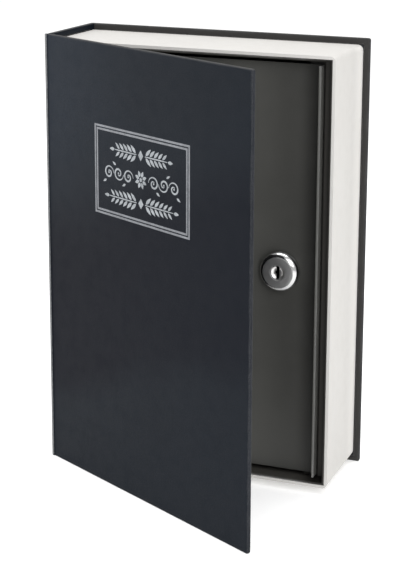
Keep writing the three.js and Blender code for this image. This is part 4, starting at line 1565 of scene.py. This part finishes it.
@dataclass
class Studio:
    """The floor, the lights and the camera."""

    eye: Triple = (373.2201, -744.3704, 337.474)
    yaw: float = 0.339
    pitch: float = 0.2133
    roll: float = 0.0119
    focal_px: float = 1530.1926
    shift_px: Pair = (60.0, 114.0)
    frame_px: float = 568.0
    surround: float = 0.75
    floor_half: float = 4.0
    lamps: tuple = (
        ("key_light", (730, -760, 640), (100, 0, 118), 600, 4.8),
        ("left_light", (-1100, -150, 420), (0, 0, 150), 900, 5.5),
        ("top_light", (60, 40, 1600), (60, 0, 0), 1200, 14.5),
    )

    def build(self) -> None:
        """Builds all of it."""
        self.floor()
        self.world()
        self.lights()
        self.camera()

    def floor(self) -> None:
        """Lays a plain pale floor, with its top at 0."""
        glow = {"Emission_Color": shade(1.0), "Emission_Strength": 0.3}
        coat = Coat("pale_floor", BOOK.frame, Roughness=0.85, **glow)
        soil = Effect.SOILING.use(coat, Scale=0.003)
        share = coat.product(soil["Broad"], 0.3)
        coat.feed("Base Color", coat.mix(share, shade(0.92), shade(0.9)))
        half = self.floor_half
        floor = block("floor", (-half, -half, -0.01), (half, half, 0.0))
        floor.data.materials.append(coat.material)

    def world(self) -> None:
        """Surrounds the scene with soft white light, which looks as bright as the floor."""
        world = bpy.data.worlds.new("studio")
        world.use_nodes = True
        bpy.context.scene.world = world
        sheet = Sheet(world.node_tree)
        seen = sheet.add("ShaderNodeLightPath").outputs["Is Camera Ray"]
        back = world.node_tree.nodes["Background"]
        back.inputs["Color"].default_value = shade(1.0)
        world.node_tree.links.new(sheet.spread(seen, self.surround, 1.0), back.inputs["Strength"])
        bpy.context.scene.view_settings.view_transform = "Standard"

    def lights(self) -> None:
        """Adds soft square lights, each with its place, target and side in millimetres."""
        for name, spot, target, size, power in self.lamps:
            data = bpy.data.lights.new(name, "AREA")
            data.size, data.energy = size * MM, power
            lamp = new_object(name, data)
            lamp.location = Vector(spot) * MM
            aim = (Vector(target) - Vector(spot)).to_track_quat("-Z", "Y")
            lamp.rotation_euler = aim.to_euler()

    def camera(self) -> None:
        """Puts the camera where the photograph was taken from."""
        data = bpy.data.cameras.new("camera")
        data.sensor_fit = "AUTO"
        data.lens = self.focal_px / self.frame_px * data.sensor_width
        data.shift_x, data.shift_y = (-shift / self.frame_px for shift in self.shift_px)
        data.clip_start, data.clip_end = 0.01, 20.0
        camera = new_object("camera", data)
        level = Vector((math.cos(self.yaw), math.sin(self.yaw), 0))
        onward = Vector((-math.sin(self.yaw), math.cos(self.yaw), 0))
        ahead = onward * math.cos(self.pitch) - Vector((0, 0, math.sin(self.pitch)))
        upright = level.cross(ahead)
        right = math.cos(self.roll) * level + math.sin(self.roll) * upright
        up = -math.sin(self.roll) * level + math.cos(self.roll) * upright
        matrix = Matrix((right, up, -ahead)).transposed().to_4x4()
        matrix.translation = Vector(self.eye) * MM
        camera.matrix_world = matrix
        bpy.context.scene.camera = camera


def main() -> None:
    """Builds the studio and every part of the safe."""
    logging.basicConfig(level=logging.INFO, format="%(name)s: %(message)s")
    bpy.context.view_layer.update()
    Studio().build()
    cloth = Leatherette(turned_in=BOOK.depth - BOOK.cover).make()
    leaf = Panel((-9.0, -0.35, -9.0), (161.65, 2.15, 236.0), frame=BOOK.cover_frame)
    # edge wear for the cover, and the colour of its painted shade over the middle
    painted_light = {"worn": (0.043, 0.045, 0.05, 1.0), "reach": 1.3, "painted_shading": (0.0, 0.0007, 0.005, 1.0)}
    cover_cloth = Leatherette("cover_leatherette", leaf, **painted_light).make()
    # the joint's roll: bare worn cloth along its fold, with a painted highlight
    highlit_fold_cloth = Leatherette("highlit_fold_leatherette", highlit_fold=0.8).make()
    lining = Paper().make()
    board = Paper("greyboard", shade(0.24, 0.05), shade(0.34, 0.06), 0.9, 0.04).make()
    whole = (1.0, 1.0, 1.0)
    lid = Panel((8.5, 3.2, 8.8), (150.9, 10.6, 227.2), whole)
    # the lid: painted gradient, painted lip shadow and a painted highlight past its grip
    enamel = Enamel(panel=lid, grip=149.5, painted_gradient=True).make()
    tray = Panel((4.7, 3.2, 5.4), (156.6, 50.2, 230.6), whole)
    # the tray is darkened as painted shade, darker still towards its right wall
    tray_shade = {"colour": (0.032, 0.0305, 0.0275, 1.0), "shade_tint": (0.3, 0.29, 0.28, 1.0)}
    shaded_tray_enamel = Enamel("shaded_tray_enamel", tray, reach=0.9, shaded_span=(138.0, 152.0), **tray_shade).make()
    # the catch is darkened as painted shade in the gap past the lid's lip, with a painted highlight
    # past its grip
    catch_shade = {"colour": (0.029, 0.0275, 0.025, 1.0), "worn": shade(0.06, 0.05), "reach": 0.6}
    catch = Enamel("shaded_catch_enamel", tray, grip=151.0, shaded_span=(151.6, 154.8), **catch_shade)
    steel = Metal().make()
    turned = {"lines": Effect.TURNING, "scale": 7.0, "depth": 0.0006, "frame": CamLock.frame()}
    chrome = Metal("lock_chrome", shade(0.6), shade(0.5), 0.4, **turned, polished_from=8.25)
    plug = Metal("plug_steel", shade(0.74, 0.01), shade(0.64, 0.02), 0.36, **turned, shaded_from=-3.7)
    # the wafer brass is darkened overall as painted shade, for wafers seen deep in the keyway
    yellow, brown = (0.13, 0.105, 0.06, 1.0), (0.06, 0.048, 0.027, 1.0)
    brass = Metal("wafer_brass", yellow, brown, 0.55, frame=CamLock.frame(), shaded_from=-3.7)
    Case(cloth, cover_cloth, highlit_fold_cloth, board, lining).build()
    dull = Foil("frame_foil", (0.2, 0.212, 0.235, 1.0), (0.09, 0.096, 0.108, 1.0))
    Title(Foil().make(), dull.make()).build()
    PageBlock(PageStock().make()).build()
    CashBox(enamel, shaded_tray_enamel, catch.make(), steel).build()
    Rivets(steel).build()
    CamLock(chrome.make(), plug.make(), steel, brass.make()).build()


if __name__ == "__main__":
    main()
